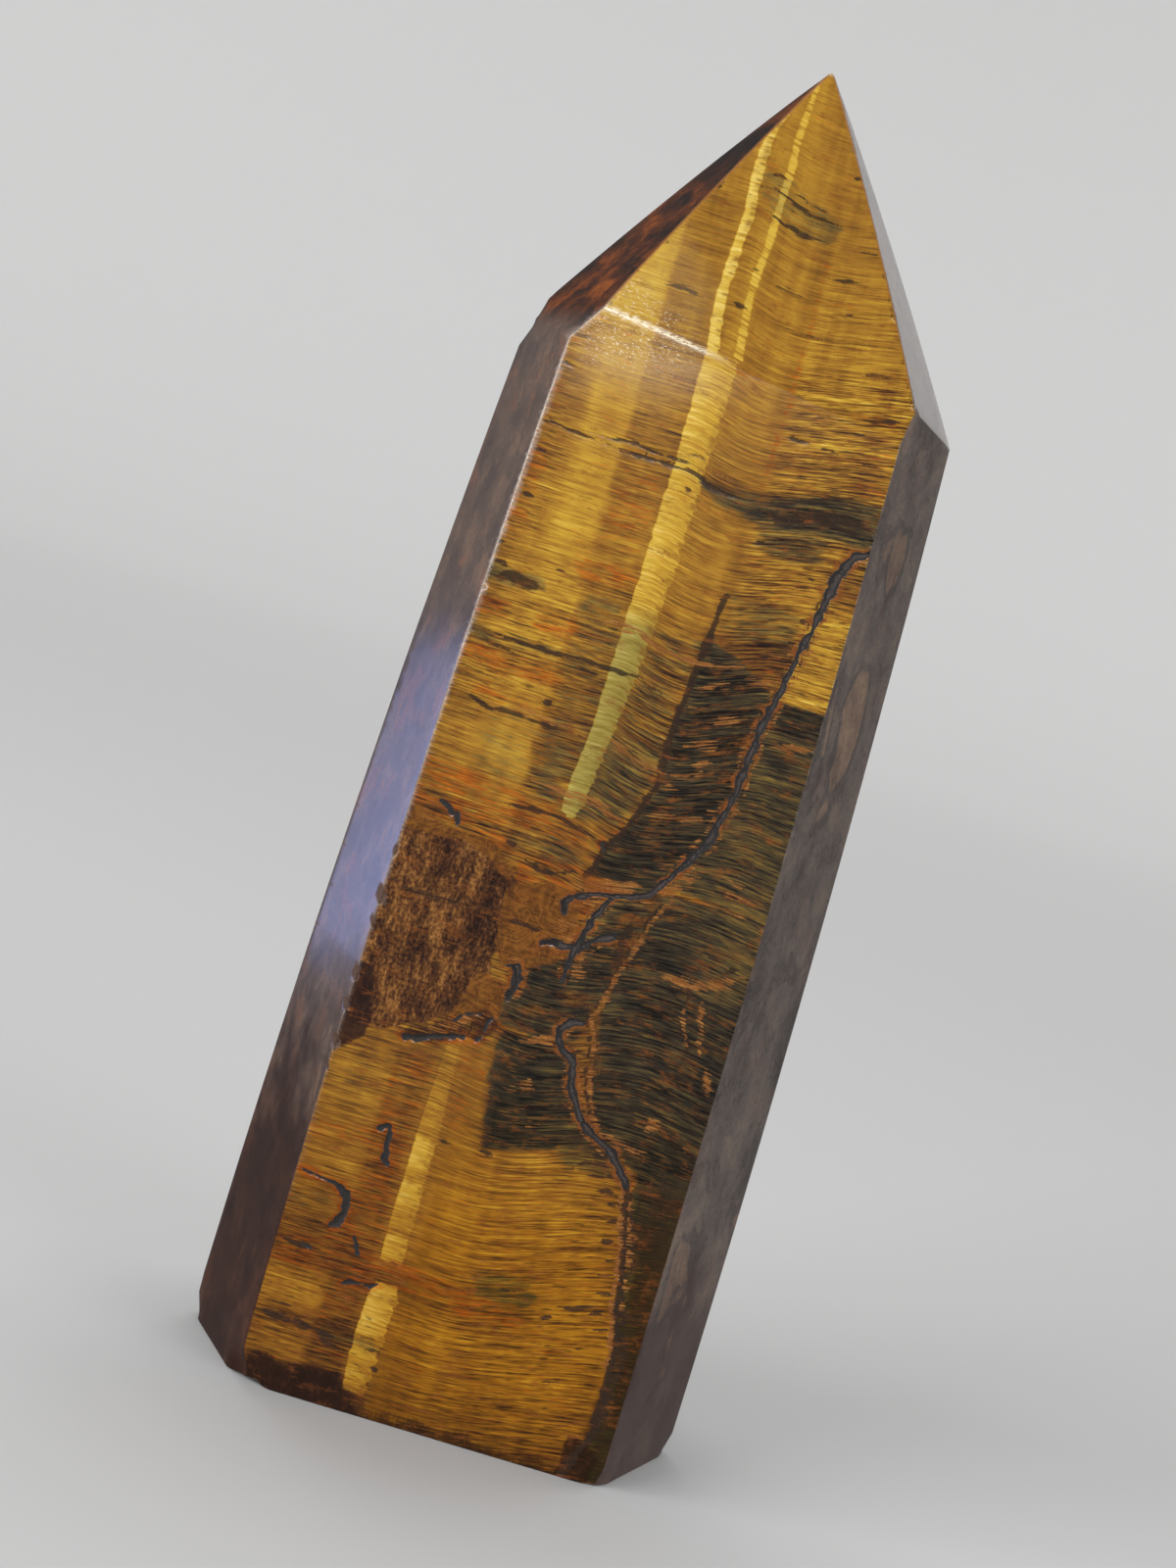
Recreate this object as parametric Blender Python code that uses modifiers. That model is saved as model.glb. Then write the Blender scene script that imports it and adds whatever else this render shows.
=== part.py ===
# Polished tiger's eye tower: a six-sided column of banded stone, ground from one
# piece, with a flat base and a six-facet point.
#
# Frame: +Z up along the column, origin in the middle of the base, front flat
# towards -Y. Named dimensions are millimetres; MM turns them into metres.

import math

import bmesh
import bpy
from mathutils import Vector

MM = 0.001

# ---------------------------------------------------------------- dimensions
HEIGHT = 98.0            # base to tip
SHOULDER = 75.0          # where the column's outline is given its top size

# The column is slightly barrelled, so each outline size is given at three
# heights: the base, half way to the shoulder, and the shoulder.
FRONT_LEFT_X = (-12.8, -12.5, -11.0)
FRONT_RIGHT_X = (13.1, 12.9, 12.2)
FRONT_Y = (-12.3, -12.0, -10.8)
SIDE_LEFT_X = (-18.0, -17.0, -14.8)
SIDE_RIGHT_X = (18.0, 17.7, 16.4)
BACK_LEFT_X = (-12.2, -11.9, -10.4)
BACK_RIGHT_X = (12.6, 12.5, 11.7)
BACK_Y = (12.3, 12.0, 10.8)
RING_HEIGHTS = (12.5, 25.0, 37.5, 50.0, 62.5, 75.0)

# The point: six flats that meet at the tip. Each is ground through the tip and
# two places on the column's shoulder, which isn't quite level all round.
TIP = (0.8, 0.0, HEIGHT)
SHOULDER_LEFT = (-14.8, 0.0, 75.7)
SHOULDER_RIGHT = (16.4, 0.0, 75.1)
FRONT_FACET_LEFT = (-9.3, -10.7, 76.8)
FRONT_FACET_RIGHT = (12.15, -10.8, 73.8)
RIGHT_FACET_FRONT = (12.35, -10.3, 76.1)
BACK_SHOULDER_LEFT = (-10.0, 10.8, 76.2)
BACK_SHOULDER_RIGHT = (11.2, 10.8, 74.6)

EDGE_ROUND = 0.40        # width of the small rounding on every polished edge
EDGE_SEGMENTS = 2
EDGE_ANGLE = 14.0        # edges sharper than this, in degrees, are rounded

# A run of chips along the front left edge: shallow scoops, longer than wide.
# Each is (height of its middle, half length, radius, how far it bites in).
CHIPS = (
    (34.6, 4.2, 0.95, 0.42),
    (28.9, 3.4, 0.85, 0.40),
    (24.3, 2.9, 0.90, 0.38),
)

NODE = "tigers_eye_tower"


# ------------------------------------------------------------------- helpers
def outline(sizes, z):
    """An outline size at height z, on the parabola through its three stations."""
    base, middle, shoulder = sizes
    s = z / SHOULDER
    bend = 2.0 * (base + shoulder - 2.0 * middle)
    return base + (shoulder - base - bend) * s + bend * s * s


def corner(index, z):
    """Corner of the hexagonal section, counted anticlockwise from +X."""
    front = outline(FRONT_Y, z)
    back = outline(BACK_Y, z)
    places = (
        (outline(SIDE_RIGHT_X, z), 0.0),
        (outline(BACK_RIGHT_X, z), back),
        (outline(BACK_LEFT_X, z), back),
        (outline(SIDE_LEFT_X, z), 0.0),
        (outline(FRONT_LEFT_X, z), front),
        (outline(FRONT_RIGHT_X, z), front),
    )
    x, y = places[index % 6]
    return Vector((x, y, z))


def collection(name):
    group = bpy.data.collections.new(name)
    bpy.context.scene.collection.children.link(group)
    return group


def stone_material():
    mat = bpy.data.materials.new("polished_tigers_eye")
    mat.use_nodes = True
    shader = mat.node_tree.nodes["Principled BSDF"]
    shader.inputs["Base Color"].default_value = (0.30, 0.155, 0.030, 1.0)
    shader.inputs["Roughness"].default_value = 0.16
    shader.inputs["Metallic"].default_value = 0.0
    return mat


def grind(bm, through_a, through_b):
    """Grind one flat of the point: cut on the plane through the tip and two
    places on the shoulder, drop what stands proud, and close the cut."""
    tip = Vector(TIP)
    a = Vector(through_a)
    b = Vector(through_b)
    normal = (a - tip).cross(b - tip).normalized()
    if normal.z < 0.0:
        normal.negate()
    geometry = bm.verts[:] + bm.edges[:] + bm.faces[:]
    cut = bmesh.ops.bisect_plane(
        bm, geom=geometry, dist=1e-5, plane_co=tip, plane_no=normal,
        clear_outer=True, clear_inner=False)
    rim = [e for e in cut["geom_cut"] if isinstance(e, bmesh.types.BMEdge) and e.is_boundary]
    bmesh.ops.contextual_create(bm, geom=rim)


# -------------------------------------------------------------------- column
def column_mesh():
    bm = bmesh.new()
    top = HEIGHT + 4.0
    bmesh.ops.create_cone(bm, cap_ends=True, cap_tris=False, segments=6,
                          radius1=10.0, radius2=10.0, depth=top)
    bmesh.ops.translate(bm, verts=bm.verts[:], vec=(0.0, 0.0, top / 2.0))
    # turn the prism until one corner lies on +X
    first = min(bm.verts, key=lambda v: abs(math.atan2(v.co.y, v.co.x)))
    turn = -math.atan2(first.co.y, first.co.x)
    for v in bm.verts:
        x, y = v.co.x, v.co.y
        v.co.x = x * math.cos(turn) - y * math.sin(turn)
        v.co.y = x * math.sin(turn) + y * math.cos(turn)
    # rings, so that the sides can follow the barrelled outline
    for z in RING_HEIGHTS:
        bmesh.ops.bisect_plane(bm, geom=bm.verts[:] + bm.edges[:] + bm.faces[:], dist=1e-5,
                               plane_co=(0.0, 0.0, z), plane_no=(0.0, 0.0, 1.0))
    for v in bm.verts:
        index = int(round(math.degrees(math.atan2(v.co.y, v.co.x)) / 60.0)) % 6
        v.co = corner(index, v.co.z)

    grind(bm, FRONT_FACET_LEFT, FRONT_FACET_RIGHT)
    grind(bm, RIGHT_FACET_FRONT, SHOULDER_RIGHT)
    grind(bm, SHOULDER_RIGHT, BACK_SHOULDER_RIGHT)
    grind(bm, BACK_SHOULDER_RIGHT, BACK_SHOULDER_LEFT)
    grind(bm, BACK_SHOULDER_LEFT, SHOULDER_LEFT)
    grind(bm, SHOULDER_LEFT, FRONT_FACET_LEFT)

    bmesh.ops.remove_doubles(bm, verts=bm.verts[:], dist=0.02)
    bmesh.ops.scale(bm, vec=(MM, MM, MM), verts=bm.verts[:])
    bmesh.ops.recalc_face_normals(bm, faces=bm.faces[:])
    mesh = bpy.data.meshes.new(NODE)
    bm.to_mesh(mesh)
    bm.free()
    return mesh


def chip_cutter(name, group, z, half_length, radius, bite):
    """A long ellipsoid laid along the front left edge, sunk in by bite."""
    mesh = bpy.data.meshes.new(name)
    bm = bmesh.new()
    bmesh.ops.create_uvsphere(bm, u_segments=12, v_segments=8, radius=1.0)
    bmesh.ops.scale(bm, vec=(radius * MM, radius * MM, half_length * MM), verts=bm.verts[:])
    bm.to_mesh(mesh)
    bm.free()
    cutter = bpy.data.objects.new(name, mesh)
    edge = corner(4, z)
    along = (corner(4, z + 5.0) - corner(4, z - 5.0)).normalized()
    # outward from the edge, half way between the front and the left flat
    outward = Vector((-1.0, -1.25, 0.0)).normalized()
    cutter.location = (edge + outward * (radius - bite)) * MM
    cutter.rotation_mode = "QUATERNION"
    cutter.rotation_quaternion = Vector((0.0, 0.0, 1.0)).rotation_difference(along)
    cutter.hide_render = True
    cutter.display_type = "WIRE"
    group.objects.link(cutter)
    return cutter


def main():
    for obj in list(bpy.data.objects):
        bpy.data.objects.remove(obj, do_unlink=True)

    parts = collection("polished_tigers_eye_tower")
    cutters = collection("cutters")

    tower = bpy.data.objects.new(NODE, column_mesh())
    tower.data.materials.append(stone_material())
    parts.objects.link(tower)

    edges = tower.modifiers.new("edge_round", "BEVEL")
    edges.width = EDGE_ROUND * MM
    edges.segments = EDGE_SEGMENTS
    edges.limit_method = "ANGLE"
    edges.angle_limit = math.radians(EDGE_ANGLE)
    edges.use_clamp_overlap = True

    for number, (z, half_length, radius, bite) in enumerate(CHIPS, start=1):
        name = "cutter_chip_%d" % number
        cutter = chip_cutter(name, cutters, z, half_length, radius, bite)
        cut = tower.modifiers.new(name, "BOOLEAN")
        cut.operation = "DIFFERENCE"
        cut.solver = "EXACT"
        cut.object = cutter


main()
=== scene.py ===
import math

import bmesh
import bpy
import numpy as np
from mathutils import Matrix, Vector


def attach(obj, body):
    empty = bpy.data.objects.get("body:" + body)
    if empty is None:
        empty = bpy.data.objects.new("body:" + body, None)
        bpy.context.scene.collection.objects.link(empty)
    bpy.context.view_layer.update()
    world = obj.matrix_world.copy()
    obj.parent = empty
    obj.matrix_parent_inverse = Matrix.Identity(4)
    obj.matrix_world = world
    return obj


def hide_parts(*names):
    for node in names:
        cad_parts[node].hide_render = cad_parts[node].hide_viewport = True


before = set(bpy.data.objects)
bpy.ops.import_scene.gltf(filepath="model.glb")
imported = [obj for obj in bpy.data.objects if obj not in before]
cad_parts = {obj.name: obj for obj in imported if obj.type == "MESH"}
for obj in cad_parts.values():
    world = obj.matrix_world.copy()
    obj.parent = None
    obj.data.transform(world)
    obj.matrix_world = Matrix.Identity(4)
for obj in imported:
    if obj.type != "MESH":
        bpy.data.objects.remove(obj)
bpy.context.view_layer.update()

# Looks of a polished, six-sided tiger's eye tower. One stone, so one piece:
# a finely divided mesh on the same outline as the solid, with its veins, pits,
# chipped arris and wear as relief, and a node material driven by fields that
# are worked out here from listed lines and zones.
#
# Lengths below are millimetres until the mesh is written. x runs across the
# front, z up the column, and the front faces -y.

MM = 0.001

# ------------------------------------------------------------------ outline
HEIGHT = 98.0
SHOULDER = 75.0
FRONT_LEFT_X = (-12.8, -12.5, -11.0)
FRONT_RIGHT_X = (13.1, 12.9, 12.2)
FRONT_Y = (-12.3, -12.0, -10.8)
SIDE_LEFT_X = (-18.0, -17.0, -14.8)
SIDE_RIGHT_X = (18.0, 17.7, 16.4)
BACK_LEFT_X = (-12.2, -11.9, -10.4)
BACK_RIGHT_X = (12.6, 12.5, 11.7)
BACK_Y = (12.3, 12.0, 10.8)

TIP = (0.8, 0.0, HEIGHT)
SHOULDER_LEFT = (-14.8, 0.0, 75.7)
SHOULDER_RIGHT = (16.4, 0.0, 75.1)
FRONT_FACET_LEFT = (-9.3, -10.7, 76.8)
FRONT_FACET_RIGHT = (12.15, -10.8, 73.8)
RIGHT_FACET_FRONT = (12.35, -10.3, 76.1)
BACK_SHOULDER_LEFT = (-10.0, 10.8, 76.2)
BACK_SHOULDER_RIGHT = (11.2, 10.8, 74.6)


def outline(sizes, z):
    base, middle, shoulder = sizes
    s = np.asarray(z, float) / SHOULDER
    bend = 2.0 * (base + shoulder - 2.0 * middle)
    return base + (shoulder - base - bend) * s + bend * s * s


CORNER_SIZES = ((SIDE_RIGHT_X, None), (BACK_RIGHT_X, BACK_Y), (BACK_LEFT_X, BACK_Y),
                (SIDE_LEFT_X, None), (FRONT_LEFT_X, FRONT_Y), (FRONT_RIGHT_X, FRONT_Y))


def corner(index, z):
    """Corner of the section at height z, anticlockwise from +X."""
    across, deep = CORNER_SIZES[index % 6]
    return outline(across, z), (0.0 * outline(across, z) if deep is None else outline(deep, z))


def facet_plane(a, b):
    tip, a, b = (np.array(p, float) for p in (TIP, a, b))
    n = np.cross(a - tip, b - tip)
    n /= np.linalg.norm(n)
    return (n if n[2] > 0 else -n), tip


# Each flat runs from corner i to corner i + 1; each facet stands over one flat.
FLATS = ("back_right", "back", "back_left", "left", "front", "right")
FACETS = {
    "front": facet_plane(FRONT_FACET_LEFT, FRONT_FACET_RIGHT),
    "right": facet_plane(RIGHT_FACET_FRONT, SHOULDER_RIGHT),
    "back_right": facet_plane(SHOULDER_RIGHT, BACK_SHOULDER_RIGHT),
    "back": facet_plane(BACK_SHOULDER_RIGHT, BACK_SHOULDER_LEFT),
    "back_left": facet_plane(BACK_SHOULDER_LEFT, SHOULDER_LEFT),
    "left": facet_plane(SHOULDER_LEFT, FRONT_FACET_LEFT),
}


def flat_distance(index, p):
    """Signed distance of points from a flat, positive outside, and its normal."""
    z = p[:, 2]
    x0, y0 = corner(index, z)
    x1, y1 = corner(index + 1, z)
    n = np.stack([y1 - y0, x0 - x1], 1)
    n /= np.linalg.norm(n, axis=1)[:, None]
    return (p[:, 0] - x0) * n[:, 0] + (p[:, 1] - y0) * n[:, 1], n


# ------------------------------------------------------------ small helpers
def smooth(a, b, x):
    t = np.clip((x - a) / (b - a), 0.0, 1.0)
    return t * t * (3.0 - 2.0 * t)


def lattice(i, j, seed):
    h = (i.astype(np.int64) * 374761393 + j.astype(np.int64) * 668265263 + seed * 1442695041) & 0xFFFFFFFF
    h = ((h ^ (h >> 13)) * 1274126177) & 0xFFFFFFFF
    return ((h ^ (h >> 16)) & 0xFFFF) / 65535.0


def wander(x, z, seed):
    """Smooth noise from -1 to 1, one bump a unit."""
    i, j = np.floor(x), np.floor(z)
    u, v = x - i, z - j
    u, v = u * u * (3 - 2 * u), v * v * (3 - 2 * v)
    i, j = i.astype(np.int64), j.astype(np.int64)
    low = lattice(i, j, seed) * (1 - u) + lattice(i + 1, j, seed) * u
    high = lattice(i, j + 1, seed) * (1 - u) + lattice(i + 1, j + 1, seed) * u
    return 2.0 * (low * (1 - v) + high * v) - 1.0


class Sheet:
    """Fields laid over one face, as functions of x across it and z up it."""

    def __init__(self, x, z):
        self.x, self.z = np.asarray(x, float), np.asarray(z, float)
        self.f = {}

    def fill(self, name, value):
        self.f[name] = np.zeros(len(self.x)) + value

    def reach(self, pts, margin):
        p = np.asarray([q[:2] for q in pts], float)
        lo, hi = p.min(0) - margin, p.max(0) + margin
        return np.nonzero((self.x > lo[0]) & (self.x < hi[0]) & (self.z > lo[1]) & (self.z < hi[1]))[0]

    def distance(self, pts, margin):
        """Vertices near a polyline, their distance from it, the half width
        carried by the points there (1 where none is given), and the fraction
        of the line's length."""
        keep = self.reach(pts, margin)
        x, z = self.x[keep], self.z[keep]
        best, wide, part = np.full(len(keep), 1e9), np.ones(len(keep)), np.zeros(len(keep))
        p = np.array([(q[0], q[1], q[2] if len(q) > 2 else 1.0) for q in pts], float)
        if len(p) == 1:
            p = np.concatenate([p, p + [[1e-4, 0, 0]]])
        run = np.concatenate([[0], np.cumsum(np.hypot(np.diff(p[:, 0]), np.diff(p[:, 1])))])
        for k in range(len(p) - 1):
            dx, dz = p[k + 1, :2] - p[k, :2]
            t = np.clip(((x - p[k, 0]) * dx + (z - p[k, 1]) * dz) / max(dx * dx + dz * dz, 1e-12), 0, 1)
            d = np.hypot(x - p[k, 0] - t * dx, z - p[k, 1] - t * dz)
            near = d < best
            best[near] = d[near]
            wide[near] = (p[k, 2] + (p[k + 1, 2] - p[k, 2]) * t)[near]
            part[near] = ((run[k] + (run[k + 1] - run[k]) * t) / run[-1])[near]
        return keep, best, wide, part

    def put(self, name, keep, weight, amount, mode):
        f = self.f[name]
        if mode == "max":
            f[keep] = np.maximum(f[keep], weight * amount)
        elif mode == "add":
            f[keep] += weight * amount
        else:
            f[keep] += (amount - f[keep]) * weight

    def stroke(self, name, pts, half, soft, amount=1.0, mode="max", rough=0.0, taper=0.0, seed=1):
        keep, d, wide, part = self.distance(pts, half * 2 + soft * 2 + 1.0)
        w = half * wide
        if taper:
            w = w * (1 - (1 - smooth(0, taper, part)) - smooth(1 - taper, 1, part)).clip(0.25, 1)
        if rough:
            w = w * (1 + rough * wander(self.x[keep] * 2.3, self.z[keep] * 2.3, seed))
        self.put(name, keep, 1 - smooth(w - soft / 2, w + soft / 2, d), amount, mode)

    def inside(self, poly, margin):
        """Vertices near a closed outline and their signed distance, positive inside."""
        keep = self.reach(poly, margin)
        x, z = self.x[keep], self.z[keep]
        best, within = np.full(len(keep), 1e9), np.zeros(len(keep), bool)
        p = np.asarray(poly, float)
        for (x0, z0), (x1, z1) in zip(p, np.roll(p, -1, axis=0)):
            dx, dz = x1 - x0, z1 - z0
            t = np.clip(((x - x0) * dx + (z - z0) * dz) / max(dx * dx + dz * dz, 1e-12), 0, 1)
            best = np.minimum(best, np.hypot(x - x0 - t * dx, z - z0 - t * dz))
            if z0 != z1:
                cross = ((z0 <= z) != (z1 <= z)) & (x < x0 + (z - z0) / (z1 - z0) * dx)
                within ^= cross
        return keep, np.where(within, best, -best)

    def area(self, name, poly, soft, amount=1.0, mode="max", rough=0.0, grain=(1.0, 1.0), seed=1):
        keep, d = self.inside(poly, soft + rough + 0.5)
        if rough:
            d = d + rough * wander(self.x[keep] * grain[0], self.z[keep] * grain[1], seed)
        self.put(name, keep, smooth(-soft / 2, soft / 2, d), amount, mode)


def follow(pts, z):
    """x of a line that climbs the face, at height z."""
    p = np.asarray(sorted(pts, key=lambda q: q[1]), float)
    return np.interp(z, p[:, 1], p[:, 0])


def beside(pts, gap):
    """A line alongside a line, at a distance to its left."""
    p = np.asarray([q[:2] for q in pts], float)
    run = np.gradient(p, axis=0)
    run /= np.maximum(np.linalg.norm(run, axis=1), 1e-9)[:, None]
    return [(a, b) for a, b in p + gap * np.stack([-run[:, 1], run[:, 0]], 1)]


def lofted(rows, x, z):
    """Value from rows of (x, value) stations, blended along the stations and up the face."""
    zs = [r[0] for r in rows]
    count = len(rows[0][1])
    xs = np.stack([np.interp(z, zs, [r[1][k][0] for r in rows]) for k in range(count)])
    vs = np.stack([np.interp(z, zs, [r[1][k][1] for r in rows]) for k in range(count)])
    out = vs[0].copy()
    for k in range(count - 1):
        t = (x - xs[k]) / np.maximum(xs[k + 1] - xs[k], 1e-6)
        out = np.where(t > 0, vs[k] + (vs[k + 1] - vs[k]) * smooth(0, 1, t), out)
    return out


# ----------------------------------------------------------------- features
# Points are (x, z), some with a third number, the relative half width there.
VEIN = [(12.3, 66.2, .7), (12.0, 65.9, .8), (11.4, 65.7, .9), (11.1, 64.8, 1.2), (10.7, 63.8, 1.3), (10.5, 62.5, 1.1),
        (10.2, 61, 1), (10.1, 60, .9), (9.9, 59, 1), (9.6, 57.5, .9), (9.4, 56.5, .9), (9.2, 55, .9), (8.9, 53.7, 1),
        (8.7, 52.7, 1), (8.55, 51, 1.1), (8.5, 49.5, 1), (8.4, 48.3, .9), (8.2, 47, 1), (7.9, 46, .9), (7.7, 45, 1.1),
        (7.3, 44, 1.2), (6.9, 43.2, 1), (6.3, 42.3, .8), (5.8, 41.4, .7), (5.3, 40.7, .7), (4.9, 40.0, .7)]
BRANCHES = [
    [(4.9, 40.0, .7), (4.2, 39.7, .7), (3.2, 39.4, .7), (2.3, 39.1, .8), (1, 38.9, .8), (0, 38.5, .9), (-.5, 37.9, 1), (-.35, 37.2, .8)],
    [(2.5, 39.1, .7), (2.0, 38.2, .9), (1.6, 37.4, 1), (1.4, 36.5, 1.1), (1.15, 35.5, 1), (1, 34.5, .9), (.9, 33.6, .8), (.8, 32.6, .6)],
    [(3.3, 36.5, 1), (2.5, 36.2, 1), (1.5, 35.4, .7)],
    [(-1.3, 34.7, .7), (-.6, 35.05, 1.1), (.2, 34.95, 1), (.9, 35.2, .8)],
    [(-3.1, 32.6, .6), (-2.4, 32.8, .9), (-2.1, 32.1, 1.1), (-2.2, 31.3, 1.1), (-2.5, 30.7, .8)],
    [(3.0, 30.4, .6), (2.3, 30.2, .9), (1.8, 29.8, 1), (1.6, 29.2, 1), (1.9, 28.6, 1), (2.6, 28.1, .9), (3.1, 27.6, .8), (3.3, 27, .9),
     (3.5, 26, 1.2), (3.9, 25.2, 1.2), (4.4, 24.5, 1), (4.9, 23.9, .8), (5.6, 23.4, 1), (6.3, 23.0, 1), (7, 22.6, 1.1), (7.6, 22.1, 1.2),
     (8.3, 21.4, 1.1), (8.9, 20.6, .8)],
]
FINE_VEIN = [(8.9, 20.6), (9.3, 18.9), (9.7, 17.6), (10.1, 15.6), (10.4, 14), (10.6, 12.5), (11, 11), (11.3, 10), (11.4, 8), (11.5, 6),
             (11.6, 4.5), (11.4, 3), (10.9, 2), (10.5, 1), (10.3, .3)]
RUST_VEIN = [(6.3, 40.2), (5.9, 39.2), (5.5, 38.3), (5.2, 37), (4.9, 36), (4.6, 35), (4.3, 34), (4, 33), (3.7, 31.5), (3.4, 30.9),
             (3.9, 30), (4.1, 29), (4.3, 28), (4.4, 27.2), (4.7, 26.3), (5.1, 25.3), (5.5, 24.3), (6.3, 23.6), (7.5, 23.2), (9.5, 23.1)]
BOUNDARY = [(4.0, 60.6), (3.8, 59), (3.7, 58), (3.5, 57), (3.5, 56), (3.4, 55), (3.3, 53), (3.1, 52), (3.15, 50), (3.2, 48), (3.1, 47),
            (2.8, 46), (2.5, 45), (2.2, 44), (1.8, 43.3), (1.4, 42.8), (1, 42.1), (.9, 41.3), (.6, 40.5), (.3, 40)]

# Left and right edges of the bright chatoyant stripe of the front, and of the
# stripes that take its place on the facet and lower down.
STRIPES = {
    "facet": ([(-1.25, 98), (-.95, 95.5), (-2.2, 92.5), (-2.35, 90), (-2.35, 88), (-2.15, 86), (-2.3, 84), (-2.35, 82), (-2.45, 80),
               (-2.3, 78), (-2.05, 76.3), (-2.0, 75.6)],
              [(-.9, 98), (-.55, 95.5), (-1.55, 92.5), (-1.65, 90), (-1.6, 88), (-1.4, 86), (-1.55, 84), (-1.6, 82), (-1.65, 80),
               (-1.45, 78), (-1.15, 76.3), (-1.1, 75.6)]),
    "main": ([(-2.0, 75.9), (-2.05, 74), (-1.95, 72), (-1.95, 70), (-1.9, 68), (-1.95, 66), (-2.0, 64), (-1.95, 62), (-2.0, 60), (-2.05, 58),
              (-2.05, 56), (-2.1, 54), (-2.15, 52), (-2.1, 50), (-2.3, 48), (-2.5, 46), (-2.55, 45), (-2.6, 43.4)],
             [(.3, 75.9), (.35, 74), (.3, 72), (.3, 70), (.25, 68), (.3, 66), (.25, 64), (.25, 62), (.2, 60), (0, 58),
              (-.1, 56), (-.2, 54), (-.4, 52), (-.6, 50), (-.8, 48), (-1.0, 46), (-1.1, 45), (-1.35, 43.4)]),
    "lower": ([(-5.35, 27.3), (-5.5, 24), (-5.6, 21), (-5.65, 19), (-5.7, 16), (-5.7, 13), (-5.6, 10.8)],
              [(-4.5, 27.3), (-4.35, 24), (-4.25, 21), (-4.2, 19), (-4.1, 16), (-4.1, 13), (-4.1, 10.8)]),
    "foot": ([(-5.45, 9.4), (-5.6, 8.8), (-5.75, 8), (-5.8, 7), (-5.8, 5), (-5.8, 3.5), (-5.6, 1.7)],
             [(-3.85, 9.4), (-3.75, 8.8), (-3.7, 8), (-3.75, 7), (-3.85, 5), (-3.9, 3.5), (-4.1, 1.7)]),
}
THIN_STRIPE = [(.1, 97), (.1, 96), (0, 94), (-.1, 92), (.05, 90.5), (.0, 88), (0, 86), (0, 84), (-.2, 82), (-.2, 80), (0, 78), (.2, 76), (.15, 75.5)]

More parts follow.
